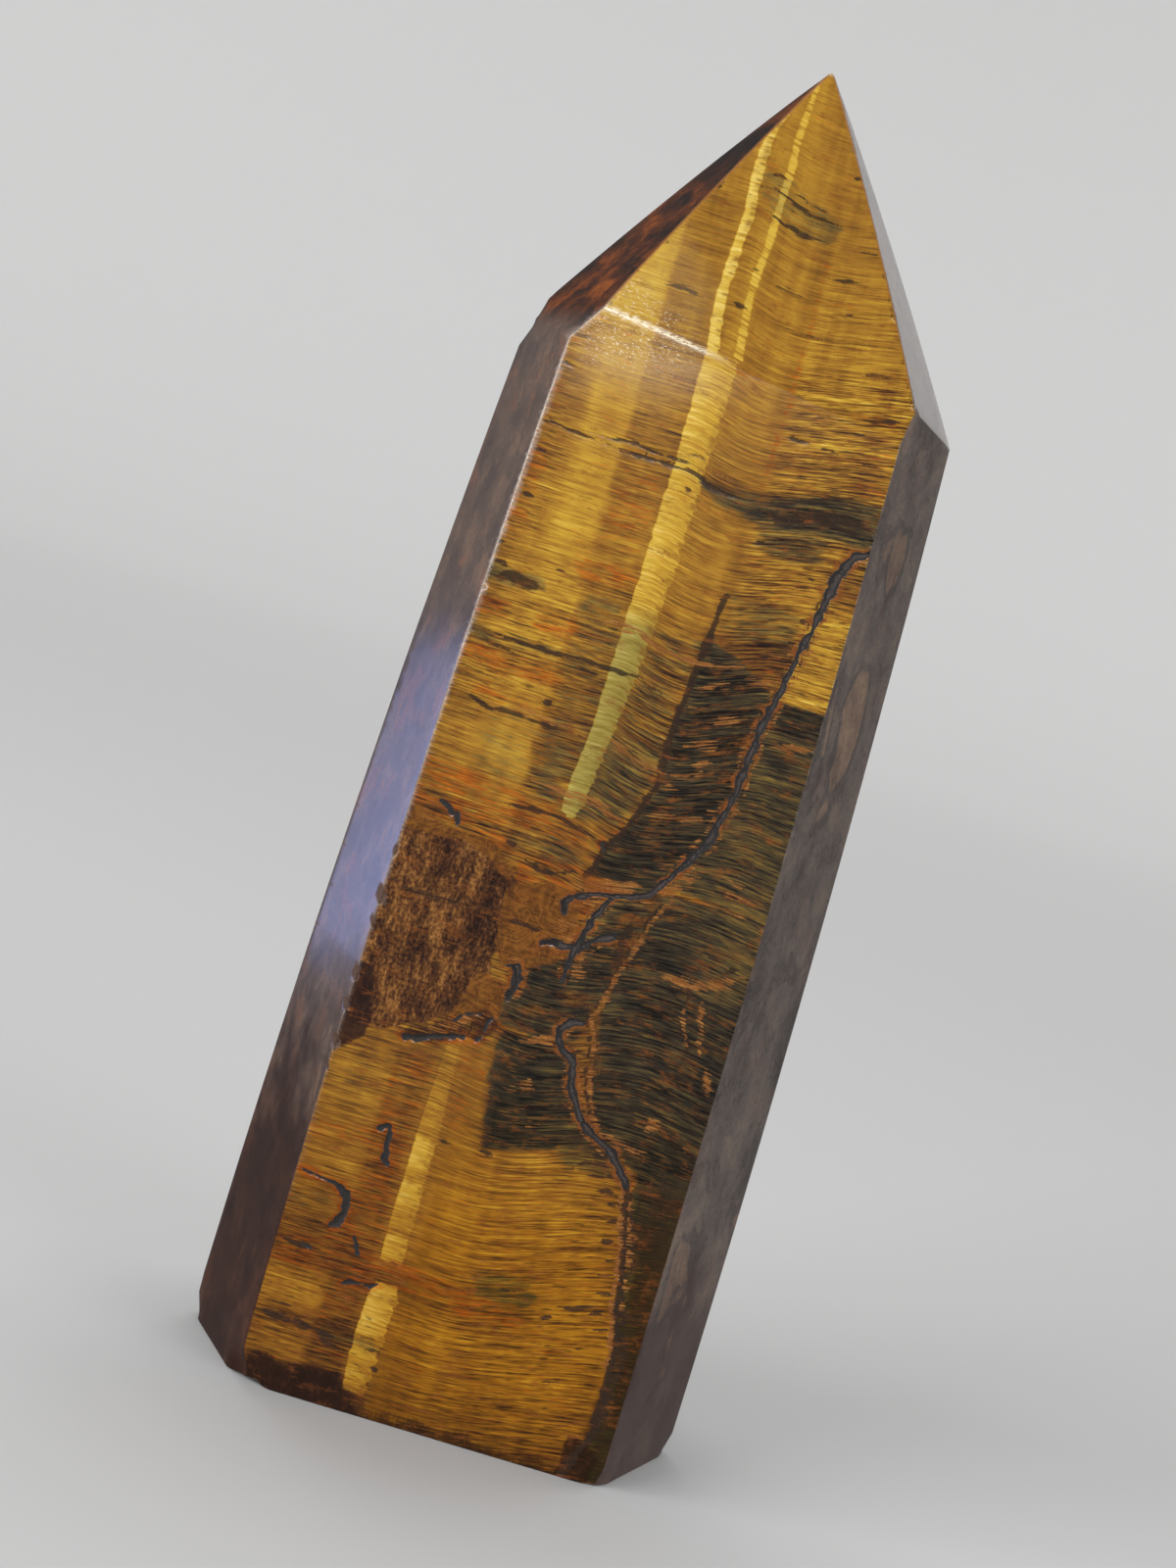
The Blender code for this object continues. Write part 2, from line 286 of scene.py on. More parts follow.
# Thin dark lines: points, half width, strength.
DARK_LINES = [
    # smudges and streaks of the facet
    ([(-1.3, 89.2), (-.6, 89.35), (.1, 89.2)], .16, .7), ([(-1.6, 88.2), (-.6, 88.3), (.2, 88.0), (1, 87.65), (2.5, 87.2), (4.3, 87.0)], .13, .95),
    ([(-.9, 86.75), (.5, 86.1), (2, 85.7), (3.7, 85.6)], .11, .95), ([(-1.2, 88.75), (.3, 88.6), (1.4, 88.15), (2.9, 87.75), (4.2, 87.5)], .07, .7), ([(-.2, 87.4), (1.6, 86.9), (4.0, 86.5)], .07, .5), ([(-2.6, 87.3), (-1.8, 87.5)], .08, .5),
    ([(-4.6, 87.2), (-3.9, 87.4)], .13, .8), ([(-.7, 82.3), (-.1, 82.35)], .1, .7), ([(-5.8, 79.5), (-4.6, 79.7), (-3.2, 79.4)], .18, .7),
    ([(-1.2, 79.65), (-.2, 79.5)], .12, .8), ([(4.0, 90.8), (4.9, 91.0)], .1, .9), ([(5.6, 85.6), (6.6, 85.95), (7.4, 86.1)], .1, .8),
    ([(4.4, 83.2), (5.5, 83.35), (6.6, 83.7)], .1, .9), ([(5.9, 80.9), (6.8, 81.3)], .1, .6), ([(.4, 82.1), (1.6, 81.6), (3.9, 81.2)], .2, .45),
    ([(.5, 79.4), (1.7, 79.0), (4.6, 78.9), (6.6, 79.2)], .12, .55), ([(8.2, 77.6), (9.6, 77.9), (10.6, 77.6)], .14, .55),
    # shoulder
    ([(9.4, 74.4), (10.6, 74.7), (11.9, 75.0)], .11, .95), ([(8.9, 73.4), (9.9, 73.6)], .09, .9), ([(4.6, 72.0), (5.6, 71.95), (6.3, 72.05)], .12, .95),
    ([(7.0, 71.85), (7.7, 71.9), (8.4, 71.8)], .1, .8), ([(9.9, 71.6), (10.9, 71.75)], .09, .8), ([(5.6, 73.9), (7.0, 74.1)], .07, .6),
    ([(-11.0, 72.5), (-10.2, 72.4)], .14, .7), ([(-10.9, 66.5), (-10.3, 66.4)], .13, .8), ([(-11.1, 63.4), (-10.2, 63.3)], .14, .8),
    # the dark layer across the column
    ([(-8.2, 68.5), (-6, 68.55), (-4.6, 68.75), (-3, 68.45), (-1.6, 68.4), (-.3, 68.5), (.2, 68.7)], .11, .8),
    ([(.2, 68.7), (1, 68.45), (2, 68.25), (3, 68.1)], .07, .6),
    ([(-11.2, 68.55), (-9.6, 68.3), (-8.2, 68.15), (-7, 68.1)], .09, .8),
    ([(-7, 68.1), (-5.4, 68.05), (-4, 67.95), (-3, 68.0), (-2, 67.9), (-1, 67.95), (0, 67.85), (.5, 67.5), (1.1, 67.3), (2, 67.15), (3.3, 67.15), (4.6, 67.35)], .14, 1.0),
    ([(-1.2, 69.0), (-.4, 69.15), (.2, 69.0)], .12, .6), ([(-.8, 66.8), (-.2, 66.6)], .12, .8),
    ([(4.4, 66.7), (5.8, 66.5), (7, 66.9), (8.6, 67.4), (10, 67.7), (11.9, 67.6)], .38, .75),
    ([(4.2, 67.3), (5.6, 67.6), (7.2, 68.2), (9, 68.8), (11.9, 68.7)], .2, .55), ([(8, 67.2), (10, 67.1), (11.9, 67.0)], .14, .9),
    ([(6.2, 64.6), (7.4, 64.9), (8.8, 65.3)], .34, .45), ([(4.8, 64.6), (5.5, 64.75)], .13, .8), ([(8.8, 63.3), (9.4, 63.3)], .1, .8),
    ([(9.1, 60.5), (10.1, 60.55)], .12, .9), ([(8.6, 58.9), (9.5, 59.0)], .1, .8), ([(7.2, 57.5), (8.4, 57.6), (9.2, 57.5)], .15, .8),
    # left of the stripe, going down
    ([(-11.7, 57.6), (-10.4, 57.9), (-9.0, 57.6), (-7.8, 57.7)], .34, .75), ([(-11.7, 58.5), (-10.6, 58.4)], .12, .7),
    ([(-12, 54.0), (-10.4, 53.85), (-8, 53.7), (-5.5, 53.8), (-4, 53.95), (-2.3, 53.7), (-.7, 53.8), (0, 53.75), (.9, 53.35), (1.9, 53.1)], .15, .95),
    ([(-11.9, 53.3), (-9.6, 53.1), (-7.8, 53.0)], .1, .7), ([(-6, 53.2), (-4, 53.2), (-1.5, 53.0)], .16, .45),
    ([(-7.5, 59.1), (-6.9, 59.1)], .14, .8), ([(-5.8, 50.3), (-5.1, 50.35)], .14, .9), ([(-11.9, 59.9), (-11.2, 59.8)], .12, .8),
    ([(-12.2, 49.7), (-10.6, 49.4), (-9, 49.0), (-7.6, 49.1), (-5.4, 48.9), (-3.6, 48.9), (-2, 48.85)], .16, .8),
    ([(-11.8, 61.5), (-11.0, 61.4)], .12, .6), ([(-11.9, 51.2), (-11.0, 51.1)], .1, .6),
    ([(-6.8, 43.1), (-5.4, 43.3), (-4, 43.25), (-2.9, 43.3), (-2.1, 43.1), (-1.3, 42.85), (-.2, 42.6), (.6, 42.35), (1.1, 42.1)], .13, .95),
    ([(-3.9, 39.95), (-3.3, 39.7), (-2.8, 39.5), (-2.1, 39.5), (-1.5, 39.7)], .17, 1.0), ([(-1.5, 39.7), (-.5, 40.0), (.3, 39.9)], .1, .9),
    ([(-5.5, 40.7), (-5.0, 40.6), (-4.7, 40.4)], .16, .9), ([(-4.5, 35.7), (-3.2, 35.75), (-2, 35.6), (-.8, 35.9)], .12, .85),
    ([(-12, 35.7), (-9.4, 35.6), (-6.8, 35.9)], .2, .5),
    ([(.9, 42.1), (.6, 42.3), (.9, 42.6), (1.2, 42.2)], .1, .9),
    # right of the vein
    ([(12.0, 36.9), (11.6, 36.6), (11.0, 36.1)], .2, .75), ([(9.1, 35.6), (9.3, 34.2), (9.2, 33.2)], .12, .8), ([(9.3, 32.3), (9.5, 31.6), (10.1, 31.1), (10.6, 30.3)], .2, .8),
    ([(9.6, 37.0), (10.3, 37.0), (10.8, 36.9)], .1, .8), ([(10.6, 23.1), (10.9, 22.3), (11.3, 21.4), (11.8, 20.6), (12.1, 20.4)], .13, .85),
    ([(9.0, 25.2), (9.3, 25.0), (9.4, 25.7)], .2, .8), ([(6.3, 25.6), (7.6, 25.5), (8.5, 25.9)], .12, .7), ([(9.4, 26.7), (9.9, 26.9), (10.4, 27.2)], .16, .55),
    ([(3.0, 24.3), (3.9, 24.6)], .2, .95), ([(3.7, 22.3), (4.6, 22.7), (5.7, 23.0)], .12, .9), ([(1.8, 22.4), (2.4, 22.4)], .1, .8), ([(-1.2, 22.9), (-.4, 23.0)], .1, .7),
    # branches' own shadows
    ([(4.2, 38.4), (4.1, 36.8), (3.9, 35.0), (3.6, 33.6)], .3, .65), ([(2.5, 33.0), (2.4, 31.4)], .3, .4),
    # lower column
    ([(-4.1, 20.1), (-3.1, 19.95)], .1, .95), ([(-1.4, 20.0), (-.2, 20.0)], .08, .9), ([(6.0, 21.2), (7.2, 21.5), (7.8, 21.9)], .16, .8), ([(6.1, 20.5), (7.6, 20.8)], .1, .7),
    ([(7.2, 19.7), (8.0, 19.9), (8.6, 19.9)], .13, .9), ([(6.0, 21.9), (7.0, 22.1), (7.6, 22.4)], .16, .9), ([(5.2, 21.0), (6.6, 21.4)], .13, .8), ([(7.5, 20.9), (8.6, 21.1)], .15, .9), ([(4.2, 20.4), (5.4, 20.7)], .08, .7), ([(8.0, 19.0), (9.0, 19.3)], .1, .8),
    ([(8.4, 17.9), (9.3, 18.3)], .12, .85), ([(7.2, 17.4), (8.2, 17.7)], .07, .6), ([(8.9, 15.2), (9.9, 15.6)], .1, .75), ([(8.6, 14.1), (9.9, 14.5)], .08, .7), ([(9.2, 12.8), (10.4, 13.2)], .12, .8), ([(9.6, 10.4), (10.8, 10.9)], .12, .8), ([(8.6, 8.9), (9.9, 9.3)], .08, .6),
    ([(8.4, 16.4), (9.3, 16.7)], .16, .8), ([(7.0, 11.2), (8.0, 11.5), (8.9, 11.9), (9.7, 12.2)], .14, .8),
    ([(8.9, 11.4), (10.2, 12.0)], .12, .7), ([(5.9, 10.3), (6.9, 10.5)], .13, .85), ([(2.6, 11.3), (3.7, 11.4)], .1, .8), ([(2.9, 8.6), (3.9, 8.9)], .1, .7),
    ([(7.3, 6.0), (8.7, 6.5)], .14, .5), ([(3.5, 3.6), (4.6, 4.0)], .12, .5), ([(7.6, 4.2), (8.4, 4.5)], .12, .5), ([(-12.4, 10.6), (-11.2, 10.5), (-10.1, 10.4)], .2, .7),
    ([(-12.9, 5.15), (-11.2, 5.2), (-9.6, 5.1), (-8.1, 5.0)], .3, .74), ([(-8.2, 5.2), (-7.6, 4.6), (-6.9, 4.3)], .4, .5), ([(-12.8, 7.3), (-11.4, 7.2)], .1, .5), ([(-12.8, 10.5), (-11, 10.3), (-9.8, 10.4)], .3, .6), ([(-12.9, 6.0), (-10, 6.1)], .08, .5),
    ([(-5.2, 4.5), (-3.8, 4.7)], .12, .6), ([(-5.6, 5.3), (-4.2, 5.4)], .08, .6), ([(-5.7, 3.6), (-4.4, 3.3)], .09, .55), ([(-4.1, 3.5), (-3.6, 3.3)], .22, .7),
]

# Thin orange and rust lines.
ORANGE_LINES = [
    ([(-5.6, 56.75), (-4.4, 56.65), (-3.4, 56.65), (-2.4, 56.8), (-1.6, 56.85), (-.7, 56.6), (.4, 56.15), (1.8, 55.9), (3.4, 55.85), (4.6, 55.95), (5.8, 56.25), (6.4, 56.4)], .15, 1.0),
    ([(-2.6, 56.5), (-1.4, 56.55), (-.9, 56.8)], .1, .8),
    ([(9.7, 51.9), (11, 52.1), (12.6, 52.35)], .16, .95), ([(9.6, 50.6), (10.8, 50.7)], .09, .5),
    ([(-5, 45.15), (-3, 45.0), (-1, 44.85), (0, 44.65), (1, 44.35), (2.1, 44.1)], .14, .9),
    ([(-9, 49.35), (-5.6, 49.25), (-3.4, 49.2)], .13, .7), ([(-1.2, 49.25), (0, 48.8), (1, 48.45), (2, 48.2), (3.6, 48.1)], .15, .9),
    ([(3.6, 48.1), (5.0, 48.4), (6.5, 48.9)], .11, .7), ([(3.1, 45.0), (4.6, 45.3), (6, 45.6), (7.5, 45.95)], .12, .8), ([(4.2, 50.3), (5.4, 50.6), (6.6, 51.1)], .16, .8),
    ([(5.2, 52.2), (6.4, 52.7), (7.6, 53.1)], .16, .8), ([(5.0, 49.2), (6.3, 49.6)], .13, .7), ([(3.6, 53.0), (4.3, 53.1)], .12, .8), ([(4, 54.4), (5.4, 54.8), (6.2, 55.0)], .15, .7),
    ([(6.8, 55.6), (8.2, 55.9), (9.2, 56.1)], .14, .7), ([(3.5, 47.0), (4.6, 47.3)], .12, .7), ([(6.8, 46.3), (7.6, 46.6)], .12, .7), ([(4.5, 41.9), (5.6, 42.2)], .1, .7),
    ([(9.2, 41.6), (10.6, 41.35), (12.6, 41.2)], .16, .7), ([(9.0, 42.2), (11, 42.4)], .1, .5),
    ([(12.9, 36.9), (12.1, 36.2), (11.2, 35.5), (10.1, 35.05), (8.0, 34.9), (6.0, 34.8)], .16, .9), ([(9.4, 34.9), (10.2, 34.3), (10.5, 33.0), (10.9, 31.5), (11.2, 30.5), (11.5, 29.8)], .08, .95), ([(9.2, 34.2), (9.4, 32.6), (9.9, 31.2), (10.6, 30.2)], .07, .7),
    ([(11.8, 29.8), (12.2, 29.0), (12.4, 28.0)], .12, .9), ([(9.2, 25.6), (9.6, 25.1), (9.2, 24.7)], .17, .8), ([(11.9, 24.6), (12.2, 23.9)], .1, .5), ([(8.4, 26.5), (8.9, 26.3)], .12, .6),
    ([(-.7, 28.0), (.3, 28.3), (1.1, 28.8), (1.7, 29.3)], .22, .95), ([(-7.7, 26.5), (-6.6, 27.1), (-5.5, 27.8), (-4.4, 28.6), (-3.3, 28.95), (-2.6, 29.0)], .17, .8),
    ([(-.6, 39.0), (.6, 39.4), (1.8, 39.75), (3.4, 40.1), (4.6, 40.5)], .2, .9), ([(4.8, 40.2), (5.9, 40.5), (6.8, 41.3), (7.6, 42.2)], .2, .8), ([(6.2, 40.9), (8.4, 40.6), (12.6, 40.3)], .1, .35),
    ([(-.9, 36.2), (.1, 36.6), (.9, 37.1)], .16, .8), ([(-.3, 34.9), (.4, 35.3)], .12, .8), ([(1.9, 37.4), (2.7, 37.3)], .16, .8), ([(1.6, 34.6), (1.8, 33.6), (1.7, 32.8)], .2, .85),
    ([(-2.6, 23.9), (-.8, 24.5), (.4, 24.9)], .12, .45), ([(.2, 25.3), (1.0, 25.1)], .16, .8), ([(-3, 26.8), (-1.4, 26.9), (0, 27.2)], .1, .4), ([(1.0, 22.7), (2.2, 22.9)], .12, .6),
    ([(12.9, 40.6), (12.5, 38.9)], .12, .6),
]

# Slits and pits: points, half width, depth.
PITS = [
    ([(-8.2, 26.05), (-7.6, 26.15), (-7, 26.4), (-6, 26.75), (-5.2, 27.0), (-4.6, 27.2)], .27, .34),
    ([(-5.5, 28.0), (-5.0, 28.5), (-4.3, 28.85), (-3.8, 28.95)], .13, .16),
    ([(-3.7, 27.2), (-3.3, 27.5), (-3.2, 28.0), (-3.15, 28.5), (-2.9, 28.95)], .17, .26),
    ([(-8.05, 19.5), (-7.75, 19.9), (-7.45, 19.6), (-7.4, 18.9), (-7.3, 18.2), (-7.35, 17.6), (-7.0, 17.3)], .25, .3),
    ([(-12.4, 15.35), (-11.2, 15.2), (-10.2, 15.1), (-9.5, 14.95)], .14, .14),
    ([(-9.5, 14.95), (-9.05, 14.5), (-8.85, 13.9), (-8.8, 13.2), (-9.05, 12.6), (-9.3, 12.35)], .34, .3),
    ([(-7.7, 11.8), (-7.4, 11.3), (-7.15, 10.8)], .2, .24),
    ([(-7.7, 8.55), (-7.2, 8.9), (-6.4, 8.9), (-5.8, 8.85), (-5.35, 9.15)], .15, .2),
    ([(-10.4, 42.1), (-9.9, 41.9), (-9.5, 41.5), (-9.1, 41.6), (-9.0, 41.0)], .25, .18),
    ([(-2.6, 32.8), (-2.4, 32.2), (-2.3, 31.4)], .2, .2), ([(-2.35, 30.9), (-2.3, 30.5)], .24, .22), ([(-1.3, 34.8), (-.9, 34.95), (-.3, 35.0)], .2, .2),
    ([(.9, 41.9), (.7, 42.3)], .14, .12), ([(-.55, 37.9), (-.4, 37.4)], .2, .14), ([(-10.9, 10.4), (-10.4, 10.3)], .14, .1),
]
# Where the surface is finely pitted and its chips are.
ARRIS_CHIPS = [(38.0, .3), (34.7, .5), (32.9, .3), (29.2, .45), (27.0, .35), (24.4, .42), (22.6, .25), (56.6, .12)]


# ------------------------------------------------------------ layers in fibre
LAYER_X = (-13, -9, -5, -2.5, -1, 0, 1, 2, 3, 4, 5, 6.5, 8, 10, 13)
LAYER_LIFT = (
    (97, (0, 0, 0, 0, 0, -.1, -.2, -.3, -.3, -.3, -.3, -.2, -.1, 0, .2)),
    (88, (0, 0, 0, 0, 0, -.35, -.8, -1.0, -1.1, -1.15, -1.1, -.8, -.5, -.1, .3)),
    (80, (.1, .05, 0, 0, 0, -.25, -.6, -.9, -1.0, -1.0, -.9, -.65, -.35, .1, .7)),
    (74, (.3, .15, 0, 0, 0, -.2, -.5, -.75, -.85, -.85, -.7, -.4, -.1, .35, .9)),
    (68, (.4, .2, 0, 0, 0, -.25, -.55, -.75, -.85, -.8, -.6, -.3, 0, .35, .6)),
    (60, (.2, .1, 0, 0, -.05, -.3, -.55, -.7, -.8, -.75, -.6, -.2, .2, .5, .7)),
    (56, (.2, .1, 0, 0, -.05, -.35, -.55, -.7, -.75, -.7, -.5, .05, .6, .9, .9)),
    (53, (.1, -.05, 0, 0, .05, -.3, -.6, -.8, -.9, -.8, -.45, .1, .8, 1.1, 1.1)),
    (48.5, (.5, .25, 0, 0, .1, -.2, -.5, -.8, -.95, -.85, -.5, .1, .5, .8, .6)),
    (44.5, (.3, .1, 0, 0, -.05, -.35, -.6, -.8, -.8, -.6, -.4, 0, .3, .5, .2)),
    (40, (.3, .2, 0, -.2, -.5, -.8, -.9, -.8, -.6, -.4, -.2, .1, .2, .1, -.3)),
    (34, (0, 0, 0, 0, 0, 0, .1, .3, .5, .7, .9, 1.1, 1.1, .9, .4)),
    (28, (0, 0, 0, -.2, -.4, -.4, -.3, -.1, .2, .6, .9, 1.2, 1.3, 1.1, .5)),
    (22, (0, 0, 0, -.4, -.5, -.4, -.2, .1, .4, .8, 1.1, 1.4, 1.5, 1.4, 1.0)),
    (17, (0, 0, 0, -.15, -.2, -.1, .1, .35, .65, .95, 1.25, 1.75, 2.2, 2.7, 3.2)),
    (10, (0, 0, 0, -.15, -.25, -.25, -.15, .05, .3, .55, .8, 1.2, 1.6, 2.1, 2.6)),
    (3, (0, 0, 0, -.1, -.15, -.1, 0, .1, .25, .4, .55, .8, 1.05, 1.35, 1.7)),
    (-3, (0, 0, 0, -.1, -.15, -.1, 0, .1, .25, .4, .55, .8, 1.05, 1.35, 1.7)),
)


def layer_lift(x, z):
    """How far a layer of the fibre has risen at (x, z), smoothly between stations."""
    gx, gz = np.arange(-15.0, 15.01, 0.25), np.arange(-4.0, 100.01, 0.5)
    rows = np.array([np.interp(gx, LAYER_X, row) for _, row in reversed(LAYER_LIFT)])
    zs = [r[0] for r in reversed(LAYER_LIFT)]
    grid = np.stack([np.interp(gz, zs, rows[:, k]) for k in range(len(gx))], 1)
    for axis, passes in ((0, 10), (1, 2)):
        for _ in range(passes):
            edge = [(1, 1) if a == axis else (0, 0) for a in (0, 1)]
            g = np.pad(grid, edge, mode="edge")
            grid = (g[:-2] + 2 * g[1:-1] + g[2:]) / 4 if axis == 0 else (g[:, :-2] + 2 * g[:, 1:-1] + g[:, 2:]) / 4
    u = np.clip((x + 15.0) / 0.25, 0, len(gx) - 1.001)
    v = np.clip((z + 4.0) / 0.5, 0, len(gz) - 1.001)
    i, j = u.astype(int), v.astype(int)
    u, v = u - i, v - j
    return ((grid[j, i] * (1 - u) + grid[j, i + 1] * u) * (1 - v)
            + (grid[j + 1, i] * (1 - u) + grid[j + 1, i + 1] * u) * v)


# Brightness across the front, at heights up it: ends of the face, the pale
# column, the brown one, the bright stripe's place, and the gold to its right.
TONE_ROWS = [
    (-1, [(-13, .12), (-8.9, .12), (-8.4, .12), (-6.1, .1), (-5.6, .16), (-2.2, .24), (.1, .26), (2.5, .27), (4.3, .25), (5, .27), (8, .25), (10.5, .18)]),
    (1.2, [(-13, .2), (-8.9, .22), (-8.4, .14), (-6.1, .12), (-5.6, .26), (-2.2, .34), (.1, .38), (2.5, .4), (4.3, .38), (5, .4), (8, .38), (10.5, .3)]),
    (3.2, [(-13, .46), (-8.9, .54), (-8.4, .3), (-6.1, .3), (-5.6, .42), (-2.2, .4), (.1, .45), (2.5, .46), (4.3, .44), (5, .45), (8, .47), (10.5, .45)]),
    (5.0, [(-13, .28), (-8.9, .34), (-8.4, .22), (-6.1, .26), (-5.6, .36), (-2.2, .44), (.1, .5), (2.5, .45), (4.3, .45), (5, .46), (8, .5), (10.5, .5)]),
    (7.0, [(-13, .54), (-8.9, .66), (-8.4, .34), (-6.1, .34), (-5.6, .44), (-2.2, .5), (.1, .56), (2.5, .53), (4.3, .53), (5, .55), (8, .5), (10.5, .46)]),
    (9.4, [(-13, .36), (-8.9, .36), (-8.4, .3), (-6.1, .32), (-5.6, .36), (-2.2, .37), (.1, .37), (2.5, .36), (4.3, .4), (5, .43), (8, .55), (10.5, .54)]),
    (12.0, [(-13, .38), (-8.9, .38), (-8.4, .33), (-6.1, .35), (-5.6, .44), (-2.2, .5), (.1, .5), (2.5, .46), (4.3, .44), (5, .46), (8, .48), (10.5, .42)]),
    (17.0, [(-13, .46), (-8.9, .52), (-8.4, .38), (-6.1, .37), (-5.6, .47), (-2.2, .5), (.1, .52), (2.5, .54), (4.3, .52), (5, .56), (8, .52), (10.5, .36)]),
    (20.0, [(-13, .46), (-8.9, .52), (-8.4, .4), (-6.1, .38), (-5.6, .48), (-2.2, .47), (.1, .46), (2.5, .5), (4.3, .48), (5, .48), (8, .38), (10.5, .3)]),
    (22.5, [(-13, .42), (-8.9, .5), (-8.4, .42), (-6.1, .4), (-5.6, .48), (-2.2, .42), (.1, .46), (2.5, .4), (4.3, .34), (5, .3), (8, .26), (10.5, .26)]),
    (26.0, [(-13, .38), (-8.9, .4), (-8.4, .4), (-6.1, .38), (-5.6, .46), (-2.2, .42), (.1, .4), (2.5, .38), (4.3, .36), (5, .36), (8, .34), (10.5, .34)]),
    (40.0, [(-13, .36), (-8.2, .42), (-7.8, .42), (-5.7, .42), (-5.4, .38), (-2.2, .42), (.1, .4), (2.8, .4), (4.2, .4), (4.8, .4), (8, .4), (12.5, .4)]),
    (43.0, [(-13, .4), (-8.6, .5), (-7.8, .54), (-5.7, .52), (-5.4, .44), (-2.2, .42), (.1, .4), (2.8, .4), (4.2, .4), (4.8, .4), (8, .4), (12.5, .42)]),
    (46.5, [(-13, .44), (-9.2, .56), (-8.0, .65), (-5.7, .64), (-5.4, .43), (-2.2, .4), (.1, .38), (2.8, .38), (4.2, .38), (4.8, .38), (8, .38), (12.5, .44)]),
    (50.0, [(-13, .4), (-9.2, .52), (-8.0, .58), (-5.7, .56), (-5.4, .44), (-2.2, .4), (.1, .39), (2.8, .4), (4.2, .42), (4.8, .42), (8, .42), (12.5, .42)]),
    (56.0, [(-13, .42), (-9.4, .56), (-7.8, .63), (-5.7, .61), (-5.4, .5), (-2.2, .46), (.1, .46), (2.8, .44), (4.2, .44), (4.8, .46), (8, .46), (12.5, .62)]),
    (60.0, [(-13, .42), (-9.4, .58), (-7.8, .68), (-5.7, .66), (-5.4, .52), (-2.2, .52), (.1, .53), (2.8, .52), (4.2, .46), (4.8, .5), (8, .52), (12.5, .6)]),
    (64.0, [(-12, .42), (-9.4, .58), (-7.8, .7), (-5.7, .68), (-5.4, .52), (-2.2, .53), (.3, .57), (2.8, .56), (4.2, .44), (4.8, .5), (8, .5), (12.5, .48)]),
    (67.2, [(-11.7, .4), (-9.4, .55), (-7.8, .68), (-5.7, .66), (-5.4, .5), (-2.2, .5), (.3, .46), (2.8, .42), (4.1, .42), (4.8, .48), (8, .5), (12.4, .5)]),
    (71.0, [(-11.5, .38), (-9.4, .5), (-7.9, .66), (-5.8, .64), (-5.4, .48), (-2.2, .5), (.3, .54), (2.8, .55), (4.1, .46), (4.8, .52), (8, .54), (12.4, .52)]),
    (75.0, [(-11, .44), (-9.4, .6), (-8.0, .72), (-5.8, .72), (-5.4, .54), (-2.2, .5), (.3, .53), (2.8, .54), (4.1, .46), (4.8, .52), (8, .52), (12.2, .5)]),
    (76.4, [(-10.5, .66), (-8.8, .78), (-8.0, .86), (-5.8, .82), (-5.3, .56), (-2.3, .5), (.1, .56), (2.8, .55), (4.0, .46), (4.8, .53), (8, .54), (12, .52)]),
    (80.0, [(-9, .74), (-8.2, .84), (-7.4, .88), (-5.9, .82), (-5.4, .54), (-2.4, .52), (-.1, .58), (2.8, .57), (4.0, .48), (4.8, .55), (8, .55), (11, .54)]),
    (85.0, [(-7, .64), (-6.2, .66), (-5.9, .66), (-5.6, .6), (-5.3, .52), (-2.4, .52), (-.1, .54), (2.6, .54), (4.0, .47), (4.7, .54), (6, .54), (9, .52)]),
    (90.0, [(-4, .5), (-3.6, .54), (-3.3, .56), (-3.1, .56), (-2.9, .56), (-2.4, .56), (-.1, .56), (2.4, .56), (3.6, .5), (4.0, .53), (5, .52), (6, .5)]),
    (99.0, [(-3, .56), (-2.6, .56), (-2.4, .56), (-2.1, .56), (-1.9, .56), (-1.4, .56), (-.1, .56), (1.2, .55), (1.6, .54), (2.0, .53), (3, .53), (4, .52)]),
]


